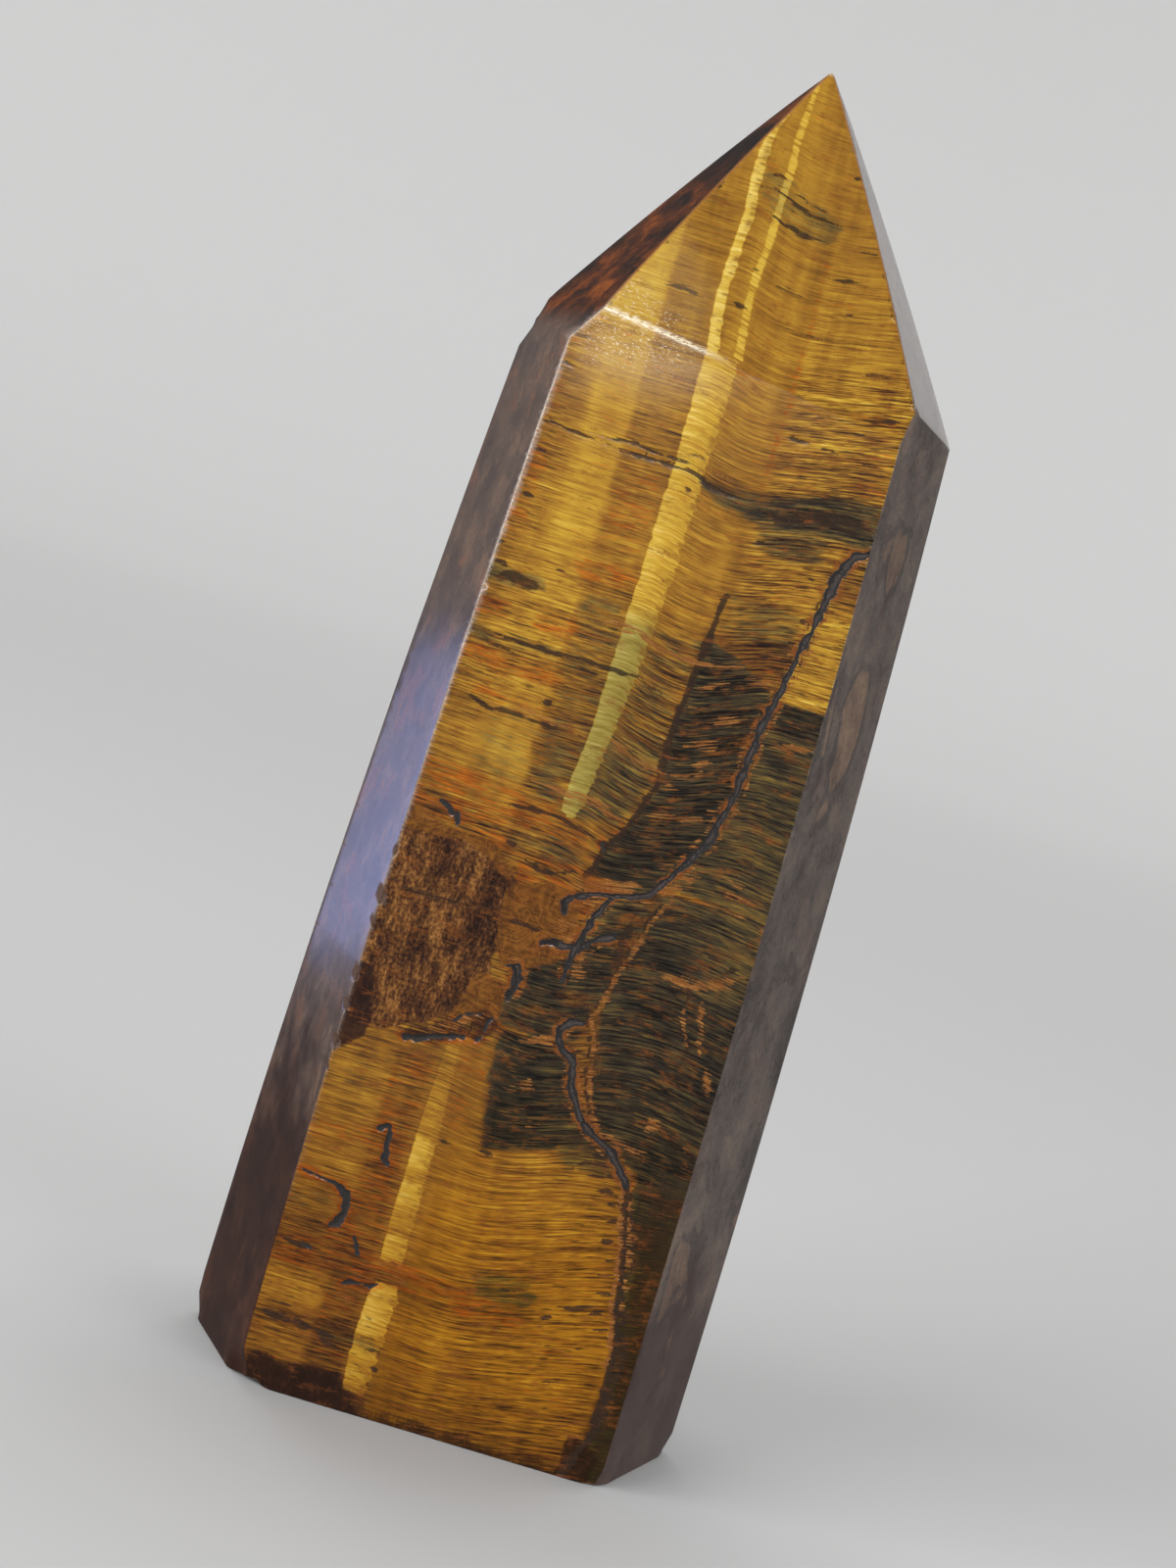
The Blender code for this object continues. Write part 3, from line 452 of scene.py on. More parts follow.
def paint_front(x, z):
    """Every field of the front flat and its facet, at the vertices' (x, z)."""
    s = Sheet(x, z)
    lift = layer_lift(x, z)
    s.f["along"] = x.copy()
    s.f["layer"] = z - lift
    layer = s.f["layer"]
    s.f["tone"] = lofted(TONE_ROWS, x + .13 * wander(x * .5, layer * 1.1, 91) + .07 * wander(x, layer * 3.1, 92), z)
    for name, value in (("streak", 1.0), ("rust", .24), ("olive", 0.0), ("iron", 0.0), ("green", 0.0), ("haze_sheen", 0.0),
                        ("dark", 0.0), ("orange", 0.0), ("vein", 4.0), ("pit", 0.0), ("dash", .2), ("sink", 0.0),
                        ("matte_and_glints", 0.0), ("swirl", 0.0), ("maroon", 0.0)):
        s.fill(name, value)

    # --- bright stripes: distance in from the left and from the right edge
    into = np.full(len(x), -9.0)
    outof = np.full(len(x), -9.0)
    for name, low, high in (("facet", 75.75, 98.5), ("main", 43.4, 75.75), ("lower", 10.7, 27.4), ("foot", 1.4, 9.5)):
        left, right = STRIPES[name]
        here = (z >= low) & (z < high)
        into[here] = (x - follow(left, z))[here]
        outof[here] = (follow(right, z) - x)[here]
    # the two that end in the stone fade rather than stop
    s.f["into"], s.f["outof"] = into, outof
    thin_half = np.interp(z, (76, 78, 90, 95, 97.5), (.34, .3, .24, .2, .12))
    thin = thin_half - np.abs(x - follow(THIN_STRIPE, z))
    s.f["thin"] = np.where(z > 75.6, thin, -9.0)
    fade = 1 - .55 * smooth(96, 98, z)
    bands = np.interp(s.f["layer"], (10.6, 11.2, 11.3, 12.7, 12.8, 13.3, 13.4, 14.5, 14.6, 14.9, 15.0, 16.6, 16.7, 17.7, 17.8, 19.7, 19.8, 21.4, 21.5, 23.0, 24.0, 27.4),
                      (.5, .5, .78, .8, .3, .3, .5, .5, .62, .62, .85, .9, .4, .45, .95, 1.0, .35, .42, .4, .3, .2, .15))
    bands2 = np.interp(s.f["layer"], (1.2, 2.0, 2.1, 3.2, 3.3, 3.9, 4.0, 4.8, 4.9, 5.6, 5.7, 9.2, 9.5),
                       (.3, .5, .75, .75, .5, .55, .8, .75, .55, .6, 1.0, 1.0, .6))
    fade = np.where((z > 10.6) & (z < 27.5), bands, np.where(z < 9.6, bands2, fade))
    s.f["fade"] = fade

    # --- olive zones
    column = [(p[0], p[1]) for p in BOUNDARY]
    climb = [(p[0], p[1]) for p in VEIN if p[1] <= 59]
    s.area("olive", [(4.0, 57.6)] + column[2:] + [(4.9, 40.0)] + climb[3:][::-1], 1.4, 1.0, rough=.25, grain=(.5, 2.2), seed=3)
    s.area("olive", [(3.9, 61.5), (9.9, 61.0), (9.6, 57.6), (3.8, 58.0)], 2.2, .5, rough=.3, grain=(.4, 1.6), seed=4)
    s.area("olive", [(9.05, 54.9), (14, 55.0), (14, 40.6), (5.4, 40.6), (6.9, 43.2), (7.7, 45), (8.5, 49.5), (8.9, 53.5)], .5, .9, rough=.15, grain=(.5, 3), seed=5)
    s.area("olive", [(5.0, 40.4), (14, 40.6), (14, 21.3), (9.2, 21.6), (6.2, 23.5), (4.4, 26), (3.9, 30), (4.2, 34), (5.3, 38)], .7, .82, rough=.2, grain=(.4, 2), seed=6)
    s.area("olive", [(9.6, 22), (14, 22), (14, -1), (10.6, -1), (11.1, 2.5), (11.7, 4.5), (11.5, 8), (11.3, 10), (10.6, 12.8), (10.2, 15.6), (9.4, 19)], .5, .85, rough=.1, grain=(1, 1), seed=7)
    s.area("olive", [(4.0, 24.6), (5.4, 23.6), (7.4, 22.5), (8.8, 20.9), (6.6, 20.9), (4.4, 20.7), (3.4, 21.6)], 1.2, .6, rough=.25, grain=(.6, 2.4), seed=25)
    s.area("olive", [(-2.1, 28.4), (3.2, 28.4), (3.7, 25.2), (4.6, 23.7), (3.6, 21.6), (1.6, 20.9), (-1.0, 20.3), (-1.5, 22), (-1.9, 24), (-2.1, 26)], .9, .95, rough=.2, grain=(.6, 2.4), seed=8)
    s.area("olive", [(-1.6, 33.8), (.6, 34.2), (1.2, 37.4), (2.2, 38.8), (4.6, 39.4), (5.4, 38.2), (4.8, 36), (4.1, 33.3), (3.5, 31.2), (2.4, 28.3), (-2.4, 28.8), (-2.6, 31.2)], .8, .72, rough=.3, grain=(.8, 1.4), seed=9)
    s.area("olive", [(-5.5, 57.6), (4, 57.6), (3.4, 54), (3.0, 49), (2.6, 45.5), (1.6, 43.2), (-1.4, 43.3), (-5.4, 43.6)], 1.6, .46, rough=.3, grain=(.4, 1.6), seed=10)
    s.area("olive", [(-2.6, 50), (3.4, 50), (3.0, 46.5), (1.6, 43.2), (-2.6, 43.4)], 2.2, .62, rough=.3, grain=(.4, 1.6), seed=11)
    s.area("olive", [(-9.6, 50.0), (-5.2, 49.4), (-5.0, 43.8), (-9.8, 44.2)], 2.2, .44, rough=.3, grain=(.4, 1.6), seed=26)
    s.area("olive", [(-4.6, 48.6), (-2.7, 48.6), (-2.8, 43.6), (-5.2, 43.6)], 1.8, .56, rough=.2, grain=(.4, 1.6), seed=12)
    s.area("olive", [(-4, 42.4), (.2, 41.6), (.2, 40.3), (-4.4, 40.2), (-6.4, 41.2)], .9, .5, rough=.2, grain=(.4, 1.6), seed=13)
    s.area("olive", [(3.4, 67.3), (5, 68.0), (7, 68.6), (9, 69.4), (13, 69.3), (13, 65.8), (9, 65.9), (7, 65.6), (5, 65.6), (3.5, 66.1)], 1.4, .72, rough=.3, grain=(.5, 1.8), seed=14)
    s.area("olive", [(-.4, 68.0), (2, 67.8), (4.4, 67.8), (4.8, 65.6), (2.6, 66.2), (.2, 66.8)], .9, .6, rough=.25, grain=(.5, 1.8), seed=27)
    s.area("olive", [(4.4, 66), (9.5, 66.3), (9.9, 64.2), (7, 63.6), (4.6, 64.4)], 1.4, .55, rough=.3, grain=(.4, 1.6), seed=15)
    s.area("olive", [(-12.4, 58.6), (-8, 58.4), (-7.4, 57.3), (-12.4, 57.0)], .9, .62, rough=.2, grain=(.5, 1.6), seed=16)
    s.area("olive", [(-12.4, 54.4), (-5.4, 54.3), (-5.4, 53.1), (-12.4, 53.0)], .9, .5, rough=.15, grain=(.5, 1.6), seed=17)
    s.area("olive", [(-5.4, 58.3), (-2.2, 58.4), (-2.2, 57.2), (-5.4, 57.2)], .8, .55, rough=.15, grain=(.5, 1.6), seed=18)
    s.area("olive", [(.2, 12.2), (4.6, 12.6), (5.6, 11.4), (5.0, 10.1), (1.2, 10.2)], .9, .55, rough=.2, grain=(.5, 1.6), seed=19)
    s.area("olive", [(-12.9, 24.4), (-9.2, 24.6), (-8.6, 20.6), (-12.9, 20.2)], 2.4, .32, rough=.4, grain=(.3, 1.6), seed=20)
    s.area("olive", [(-12.9, 14.8), (-9.6, 14.6), (-9.6, 12.4), (-12.9, 12.2)], 1.4, .42, rough=.3, grain=(.3, 1.6), seed=21)
    s.area("olive", [(-8.2, 5.9), (-5.9, 5.6), (-3.9, 5.4), (-3.9, 4.0), (-5.8, 4.2), (-8.4, 4.4)], .9, .5, rough=.2, grain=(.6, 1.6), seed=22)
    s.area("olive", [(-1.6, 89.6), (.4, 89.5), (2.6, 88.4), (4.8, 87.6), (4.6, 86.4), (3.8, 85.2), (1.6, 85.4), (-.8, 86.6), (-1.8, 87.8)], .8, .5, rough=.3, grain=(.6, 2.0), seed=28)
    s.area("olive", [(-5.5, 88.3), (-2.5, 87.8), (-2.4, 76.0), (-5.4, 76.0)], 1.4, .34, rough=.2, grain=(.5, 1.0), seed=23)
    # the gold patch between vein and right edge keeps clear of them
    s.area("olive", [(10.0, 61.6), (14, 62.0), (14, 55.05), (9.45, 55.05)], .35, 0.0, mode="set", rough=.06, grain=(1, 3), seed=24)
    s.area("olive", [(10.8, 65.6), (14, 66.0), (14, 62.2), (10.7, 62.0)], .8, .35, mode="set", rough=.1, grain=(1, 3), seed=25)

    # --- tone over those zones: dark olive, with its paler silky stretches
    olive_tone = (
        ([(4.0, 57.4)] + column[2:] + [(4.9, 40.0)] + climb[3:][::-1], 1.6, .16), ([(3.9, 61.5), (9.9, 61.0), (9.6, 57.6), (3.8, 58.0)], 2.0, .47),
        ([(9.05, 54.9), (14, 55), (14, 52.7), (8.9, 52.7)], .5, .2), ([(8.9, 52.6), (14, 52.6), (14, 49.0), (8.5, 49.0)], .6, .3), ([(8.5, 49), (14, 49), (14, 46), (8, 46)], 1.2, .34),
        ([(8, 46), (14, 46), (14, 40.6), (5.6, 40.6)], 1.5, .32), ([(5.2, 40.2), (14, 40.4), (14, 33.5), (4.4, 33.5)], 1.4, .25), ([(8.6, 40.4), (14, 40.4), (14, 32.0), (9.4, 33.0)], 2.4, .36), ([(4.2, 34.2), (14, 34.4), (14, 21), (4.6, 23.8)], 1.6, .2),
        ([(9.6, 22), (14, 22), (14, -1), (10.6, -1), (11.5, 8), (10.2, 15.6)], .6, .22), ([(-2.1, 28.4), (3.4, 28.4), (4.2, 24.2), (3.4, 21.4), (-1.0, 20.3), (-1.9, 24)], 1.1, .17),
        ([(-2.6, 33.8), (.8, 34.2), (3.5, 38.9), (5.2, 38.6), (3.5, 30.2), (2.4, 28.3), (-2.6, 28.8)], 1.0, .2), ([(3.4, 67.5), (9, 69.0), (13, 69.2), (13, 66.2), (9, 66.0), (3.4, 65.9)], 1.5, .24), ([(5.0, 65.6), (9.4, 65.9), (9.6, 64.2), (5.6, 63.9)], 1.2, .36),
        ([(-.2, 67.9), (3.6, 67.8), (3.8, 66.3), (.4, 66.9)], .8, .34),
        ([(9.0, 57.6), (5.0, 58.4), (4.2, 56.4), (9.0, 56.0)], 2.0, .34),
    )
    olive_tone += (([(6.9, 58.6), (9.7, 58.9), (9.3, 56.2), (6.8, 56.0)], 1.2, .22),)
    for poly, soft, value in olive_tone:
        s.area("tone", poly, soft, value, mode="set", rough=.15, grain=(.6, 2.0), seed=31)
    s.area("tone", [(9.9, 61.2), (14, 62.0), (14, 55.05), (9.45, 55.05)], .5, .6, mode="set", rough=.06, grain=(1, 3), seed=24)
    s.area("tone", [(10.9, 65.2), (14, 65.6), (14, 62.1), (10.8, 62.0)], .8, .42, mode="set", rough=.1, grain=(1, 3), seed=25)
    s.area("rust", [(9.6, 62), (14, 62), (14, 55), (9.4, 55)], .4, .1, mode="set")

    s.area("rust", [(-12.4, 50.2), (-5.2, 50.0), (-5.2, 44.8), (-12.4, 45.0)], 1.6, .1, mode="set")
    s.area("rust", [(-12.4, 61.0), (-5.2, 61.0), (-5.2, 57.0), (-12.4, 57.0)], 1.6, .12, mode="set")
    s.area("rust", [(-13, 24), (-8.8, 24), (-8.8, 12.4), (-13, 12.4)], 1.6, .12, mode="set")
    # --- rusty and orange zones
    for poly, soft, value, seed in (
        ([(-12.6, 43.8), (-2.4, 43.6), (.8, 42.2), (.4, 40.2), (-3, 39.4), (-7, 39.9), (-12.6, 40.2)], .9, .5, 41), ([(-12.4, 53.0), (-2.2, 52.9), (-2.2, 51.2), (-12.4, 51.4)], .9, .5, 42),
        ([(-12.4, 56.4), (-9.8, 56.2), (-9.8, 55.1), (-12.4, 55.1)], .7, .62, 43), ([(-8.2, 56.3), (-2.2, 56.2), (-2.2, 54.9), (-8.0, 54.9)], .8, .54, 44), ([(-6.6, 60.9), (-2.2, 60.6), (-2.2, 58.9), (-6.4, 59.0)], .8, .52, 45),
        ([(-12.4, 67.6), (-9.8, 67.2), (-9.8, 60.2), (-12.4, 60.4)], 1.2, .42, 46), ([(-5.4, 67.4), (-2.1, 67.2), (-2.1, 61.2), (-5.4, 61.2)], 1.0, .42, 47), ([(-12.2, 76), (-9.8, 76), (-9.8, 69), (-12.2, 69)], 1.2, .36, 48),
        ([(-10.6, 50.4), (-2.4, 50.2), (-2.4, 49.4), (-10.6, 49.6)], .6, .52, 49), ([(-12.6, 44.9), (-8.8, 44.8), (-5.6, 44.6), (-2.8, 44.3), (-2.6, 43.2), (-12.6, 43.2)], .7, .52, 50), ([(.2, 54.9), (3.2, 54.5), (3.3, 52.6), (.2, 52.8)], .8, .42, 51),
        ([(-.9, 49.6), (3.0, 48.8), (3.0, 47.3), (-.9, 48.2)], .6, .55, 52), ([(-1.2, 45.6), (2.0, 44.9), (2.0, 43.6), (-1.2, 44.3)], .6, .5, 53), ([(-4.4, 39.8), (1.6, 39.2), (.9, 36.2), (-.5, 33.5), (-2.6, 32.5), (-4.2, 33)], .8, .62, 54),
        ([(-.6, 40.6), (5.6, 41.4), (8.4, 43.2), (7.6, 41.2), (5.8, 39.6), (.4, 38.3)], .9, .56, 55), ([(-12.9, 11.2), (-4, 11.4), (3.0, 10.4), (5.4, 9.8), (4.6, 8.8), (-4, 8.9), (-12.9, 8.8)], .8, .5, 56),
        ([(-8.8, 25), (-5.8, 25), (-5.7, 10.8), (-8.8, 10.8)], 1.0, .46, 57), ([(-12.9, 19.0), (-6, 19.6), (-6, 17.8), (-12.9, 17.4)], .9, .4, 58), ([(-12.9, 11.4), (-6.2, 11.6), (-6.0, 9.4), (-12.9, 9.4)], .9, .5, 59),
        ([(-4.6, 27.2), (-2.2, 27.2), (-2.2, 20.6), (-4.4, 20.6)], 1.0, .36, 60), ([(-8.8, 8.2), (-6.0, 8.2), (-6.0, 3.2), (-8.8, 3.2)], 1.0, .42, 61), ([(5.2, 25.2), (9.8, 23.9), (9.8, 22.4), (6.4, 22.7)], .7, .5, 62),
        ([(-2.2, 23.0), (3.4, 23.6), (5.4, 22.4), (3.6, 21.4), (-1.2, 21.0)], .8, .5, 63), ([(9.2, 75.5), (12.4, 75.5), (12.4, 60), (10.6, 62)], 1.4, .34, 64), ([(1, 44.0), (7.2, 44.0), (5.2, 40.9), (1.0, 40.6)], 1.0, .46, 65),
        ([(3.2, 56.6), (8.8, 57.0), (8.4, 54.0), (3.3, 53.4)], 1.0, .4, 66), ([(3.2, 50.4), (8.0, 51.6), (7.8, 47), (3.2, 46)], 1.0, .4, 67), ([(5.0, 41.8), (13.4, 42.0), (13.4, 40.4), (5.4, 40.3)], .8, .46, 68),
        ([(-4.2, 31.2), (-2.2, 31.4), (-1.6, 28.4), (-4.4, 28.0)], .8, .62, 69), ([(.4, 38.2), (1.2, 36.0), (.8, 32.6), (-.4, 33.5), (-.6, 36.6)], .5, .62, 70), ([(6.8, 22.6), (9.6, 21.8), (10.2, 19.6), (8.8, 20.4)], .5, .42, 71),
    ):
        s.area("rust", poly, soft, value, rough=.25, grain=(.45, 1.8), seed=seed)

    # --- ironstone: a dense speckled patch left of the veins
    s.area("iron", [(-12.9, 39.9), (-9.6, 40.2), (-6.6, 40.0), (-4.6, 39.2), (-3.9, 37.4), (-3.8, 35.4), (-4.1, 33.4), (-4.0, 31.0), (-4.7, 29.3), (-6.2, 28.0),
                    (-7.9, 26.9), (-9.4, 26.3), (-12.9, 26.2)], .9, 1.0, rough=.35, grain=(1.1, 1.1), seed=81)
    s.area("maroon", [(-12.95, 30.2), (-11.7, 30.0), (-11.3, 28.2), (-10.9, 26.6), (-11.1, 25.2), (-11.8, 24.4), (-12.95, 23.8)], .5, 1.0, rough=.15, grain=(1.3, 1.3), seed=82)
    s.area("maroon", [(-12.9, 2.0), (-9, 2.3), (-6.2, 2.6), (-5.0, 1.6), (-3.6, .2), (-3.2, -1), (-12.9, -1)], 1.3, 1.0, rough=.35, grain=(.7, 1.2), seed=83)
    s.area("maroon", [(-5, 1.6), (-2, 1.0), (9, .9), (10.2, -1), (-5, -1)], 1.6, .62, rough=.35, grain=(.7, 1.2), seed=88)
    s.area("maroon", [(10.2, 16), (10.9, 14), (11.4, 11), (11.8, 8), (12.0, 4.5), (11.3, 1), (14, -1), (14, 21.5), (9.8, 21.5)], 1.2, .5, rough=.35, grain=(.7, 1.2), seed=89)
    s.area("maroon", [(10.2, 3.2), (11.2, 3.0), (12.4, 2.0), (12.4, -1), (9.8, -1), (10.0, 1.0)], .6, .8, rough=.2, grain=(1.0, 1.2), seed=84)
    s.area("swirl", [(-4.6, 37.6), (-2.2, 39.0), (.4, 38.4), (.9, 36.4), (.2, 34.0), (-1.6, 33.0), (-3.4, 32.6), (-4.4, 33.8)], .9, 1.0, rough=.2, grain=(.8, .8), seed=85)
    s.area("swirl", [(-4.6, 31.8), (-2.6, 31.8), (-2.4, 28.6), (-4.4, 28.2), (-6.0, 28.2)], .8, .9, rough=.2, grain=(.8, .8), seed=86)
    s.area("swirl", [(-12.9, 41.6), (-9.5, 40.9), (-6.2, 40.4), (-4.2, 39.0), (-4.8, 38.4), (-8, 39.8), (-12.9, 39.8)], .7, .75, rough=.2, grain=(.8, .8), seed=87)

    # dark stone along the slit under it
    s.area("maroon", [(-8.6, 26.0), (-6.6, 26.2), (-4.4, 27.0), (-2.4, 27.4), (-2.2, 29.4), (-4.0, 29.1), (-6.0, 28.2), (-8.2, 27.0)], .9, .6, rough=.3, grain=(1.1, 1.3), seed=90)
    s.area("swirl", [(-.9, 33.6), (2.4, 34.4), (3.2, 31.6), (2.6, 28.4), (.2, 28.2), (-2.2, 29.2), (-2.0, 31.6)], 1.2, .36, rough=.4, grain=(.8, .9), seed=93)
    s.area("swirl", [(3.2, 40.0), (7.0, 41.6), (6.2, 39.4), (5.2, 36.4), (4.2, 31.4), (5.4, 25.6), (7.2, 23.4), (4.4, 24.6), (3.4, 29.8), (3.6, 34.0)], 1.0, .5, rough=.4, grain=(.8, .9), seed=94)

    # --- pale green lustre low in the main stripe
    s.area("green", [(-3, 57.6), (.6, 57.6), (.2, 49), (-.8, 43), (-3.4, 43)], 3.0, .95)
    s.area("green", [(-12.9, 9), (-8.5, 9), (-8.5, 1.8), (-12.9, 1.8)], 1.2, .3)
    # --- painted sheen at the top left, a milky haze where the polish is poor, and the matte zone under the crease that carries painted glints
    s.area("haze_sheen", [(-10.4, 76.8), (-2, 76.2), (-1.2, 73.5), (-4, 71.4), (-9.6, 71.4)], 3.0, .6)
    s.area("haze_sheen", [(-9.6, 77), (-2.4, 76.4), (-2.6, 80), (-6, 84), (-8.4, 80)], 3.0, .5)
    s.area("matte_and_glints", [(-10.2, 76.6), (-3.4, 76.0), (-3.0, 75.0), (-6, 73.6), (-9.4, 73.4)], 2.6, 1.0)
    s.area("matte_and_glints", [(-9.3, 77.0), (-5, 76.4), (-4, 77.4), (-8.2, 79.4)], 1.0, .8)

    # --- how strong the fibre's streaks are, and where short dark dashes run
    for poly, soft, value in (
        ([(-13, 99), (5, 99), (5, 43), (-13, 43)], 1.5, .75), ([(-5.4, 57), (-2, 57), (-2, 43), (-5.4, 43)], 1.0, .95), ([(-13, 57), (-5.4, 57), (-5.4, 49), (-13, 49)], 1.5, .9), ([(-8.2, 99), (-5.4, 99), (-5.4, 60), (-8.2, 60)], .8, .5),
        ([(.4, 99), (4.4, 99), (4.4, 58), (.4, 58)], .8, .62), ([(4.8, 80), (13, 80), (13, 60), (4.8, 60)], 1.5, 1.35), ([(4.8, 98), (13, 98), (13, 78), (4.8, 76)], 2.5, .7), ([(0, 57), (3.4, 57), (2.6, 44), (-.6, 44)], .8, 1.2),
        ([(9.4, 62), (13.6, 62), (13.6, 55), (9.4, 55)], .6, 1.1), ([(5.4, 55), (14, 55), (14, 21), (4.4, 21)], 1.5, 1.0), ([(3.4, 57), (9.2, 57), (7, 43), (2.6, 44)], 1.0, 1.1), ([(-13, 26), (-4, 26), (-4, -1), (-13, -1)], 1.0, .75),
        ([(-4.1, 27), (-.2, 27), (-.2, -1), (-3.9, -1)], .8, .5), ([(-1.5, 21), (12, 21), (12, -1), (-1.5, -1)], 4.5, .85), ([(11, 22), (14, 22), (14, -1), (11, -1)], .8, .35), ([(-9.6, 48.9), (-5.5, 48.9), (-5.5, 45), (-9.6, 45)], .8, .45),
    ):
        s.area("streak", poly, soft, value, mode="set")
    s.area("streak", [(-8, 99), (6, 99), (9, 84), (4.6, 82), (4.4, 77), (-11, 77)], 3.0, .46, mode="set")
    s.area("streak", [(-4, 99), (4, 99), (7, 87), (-5, 88)], 4.0, .3, mode="set")
    for poly, soft, value in (
        ([(4.8, 77), (13, 76), (13, 61), (4.8, 61)], 3.0, .66), ([(-12, 76), (-9.4, 76), (-9.4, 60), (-12, 60)], 1.5, .6), ([(4, 20), (11, 20), (11, 1), (2, 1)], 4.0, .52), ([(9.4, 62), (13.6, 62), (13.6, 55), (9.4, 55)], .6, .7),
        ([(-13, 57), (-2.2, 57), (-2.2, 50), (-13, 50)], 1.5, .5), ([(0, 57), (3.4, 57), (2.6, 44), (-.6, 44)], 1.0, .7), ([(5.4, 55), (14, 55), (14, 24), (4.8, 24)], 1.5, .6), ([(-13, 8), (-4, 8), (-4, 2), (-13, 2)], 1.0, .45), ([(4.2, 62), (9.6, 62), (9.0, 57), (4.0, 57)], 1.5, .8),
        ([(2.4, 26.6), (9.8, 23.8), (9.6, 19), (2.4, 20)], 1.0, .7),
    ):
        s.area("dash", poly, soft, value)

    # --- lines, which never run quite true
    s.x = x + .07 * wander(x * 1.1, z * 1.4, 95) + .035 * wander(x * 2.9, z * 2.9, 96)
    s.z = z + .09 * wander(x * .55, z * .8, 97) + .06 * wander(x * 1.7, z * 2.3, 98)
    for k, (pts, half, strength) in enumerate(DARK_LINES):
        s.stroke("dark", pts, half * 1.15, .16 + half, strength, rough=.45, taper=.3, seed=100 + k)
    for k, (pts, half, strength) in enumerate(ORANGE_LINES):
        spread = 1.0 if strength > .94 else 2.1
        s.stroke("orange", pts, half * spread, .16 + half * spread, strength if spread > 1 else strength * 1.4, rough=.5, taper=.3, seed=300 + k)
    s.stroke("dark", BOUNDARY, .17, .3, 1.0, rough=.45, seed=400)
    s.stroke("dark", [(3.7, 57.9), (3.5, 56.2), (3.35, 54)], .24, .3, 1.0, rough=.4, seed=401)
    s.stroke("dark", [(3.1, 52.6), (3.1, 50), (3.15, 47.6)], .24, .35, 1.0, rough=.4, seed=402)
    # a red-brown dot and the thin brown column that carries it
    s.stroke("rust", [(4.1, 84), (4.25, 78), (4.3, 72), (4.35, 66)], .28, .5, .5)
    s.stroke("orange", [(4.3, 75.75), (4.35, 75.5)], .14, .2, .8)
    s.stroke("dark", [(-.9, 20.4), (-1.2, 22), (-1.6, 24), (-1.9, 25.6)], .3, .8, .6, rough=.3, seed=403)
    # rims of the lower vein and the strip's own edge
    s.stroke("dark", [(p[0] + .08, p[1]) for p in FINE_VEIN], .24, .34, 1.3, rough=.6, seed=404)
    s.stroke("dark", [(p[0] + .75, p[1] - .3) for p in FINE_VEIN[1:9]], .12, .3, .9, rough=.9, seed=414)
    s.stroke("orange", [(p[0] - .22, p[1]) for p in FINE_VEIN[:9]], .13, .22, 1.35, rough=.7, seed=405)
    s.stroke("orange", [(p[0] + .45, p[1] - .2) for p in FINE_VEIN[:6]], .09, .2, 1.1, rough=.9, seed=415)
    s.stroke("orange", RUST_VEIN, .13, .3, 1.0, rough=.8, seed=406)
    s.stroke("dark", [(p[0] - .26, p[1]) for p in RUST_VEIN], .09, .22, .8, rough=.8, seed=407)
    s.stroke("dark", [(p[0] + .24, p[1] - .1) for p in RUST_VEIN], .07, .22, .7, rough=.8, seed=413)
    s.stroke("dark", [(9.3, 20), (10, 18.5), (10.8, 16), (11.15, 14.6), (11, 13)], .12, .25, .8, rough=.4, seed=408)
    s.stroke("orange", [(10.2, 18.2), (10.6, 17.2), (10.6, 16.0)], .12, .2, .6, rough=.4, seed=409)
    s.stroke("tone", [(10.95, 16.4), (10.95, 14.8), (10.8, 13.2)], .3, .3, .34, mode="set")
    s.stroke("dark", [(11.9, 9.5), (12.1, 7), (12.0, 4)], .28, .6, .5, rough=.4, seed=410)
    s.stroke("dark", [(11.6, 18), (12.6, 17.6)], .25, .8, .45, rough=.4, seed=411)
    s.stroke("dark", [(11.2, 12.2), (12.9, 11.9)], .3, .8, .45, rough=.4, seed=412)

    # --- veins, in half widths from the centre line
    for pts, half in [(VEIN, .155)] + [(b, .15) for b in BRANCHES]:
        keep, d, wide, part = s.distance(pts, 1.6)
        w = half * wide * (1 + .4 * wander(x[keep] * 1.9, z[keep] * 1.9, 71))
        d = np.abs(d + .07 * wander(x[keep] * 1.4, z[keep] * 1.4, 75))
        s.f["vein"][keep] = np.minimum(s.f["vein"][keep], d / w)
        s.put("sink", keep, 1 - smooth(.3, 1.6, d / w), .045, "max")
    keep, d, wide, part = s.distance(FINE_VEIN, 1.0)
    s.put("sink", keep, 1 - smooth(.05, .3, d), .04, "max")
    keep, d, wide, part = s.distance(RUST_VEIN, 1.0)
    s.put("sink", keep, 1 - smooth(.05, .24, d), .03, "max")
    # dark hairlines and rusty seams beside them
    for k, pts in enumerate([VEIN] + BRANCHES):
        for gap, name, half, strength in ((-.34, "dark", .06, .75), (.36, "dark", .06, .8), (.52, "orange", .1, .72), (-.5, "orange", .08, .6)):
            s.stroke(name, beside(pts, gap), half, .2, strength, rough=1.0, taper=.1, seed=420 + k)
    for pts, half, depth in PITS:
        keep, d, wide, part = s.distance(pts, 1.4)
        w = half * .78 * (1 + .5 * wander(x[keep] * 2.7, z[keep] * 2.7, 72))
        s.put("pit", keep, 1 - smooth(w - .08, w + .1, d), 1.0, "max")
        s.put("sink", keep, 1 - smooth(w * .2, w + .1, d), depth * .42, "max")
        s.put("rust", keep, 1 - smooth(w + .1, w + .75, d), .62, "max")
    # low relief: darker layers wear a little deeper, bright ones stand up
    s.f["sink"] += .01 * np.clip(s.f["dark"], 0, 1) + .012 * smooth(.4, .8, s.f["iron"]) * (1 + wander(x * 2.6, z * 1.7, 73))
    s.f["sink"] += .012 * (1 + wander(x * .28, z * .33, 74))
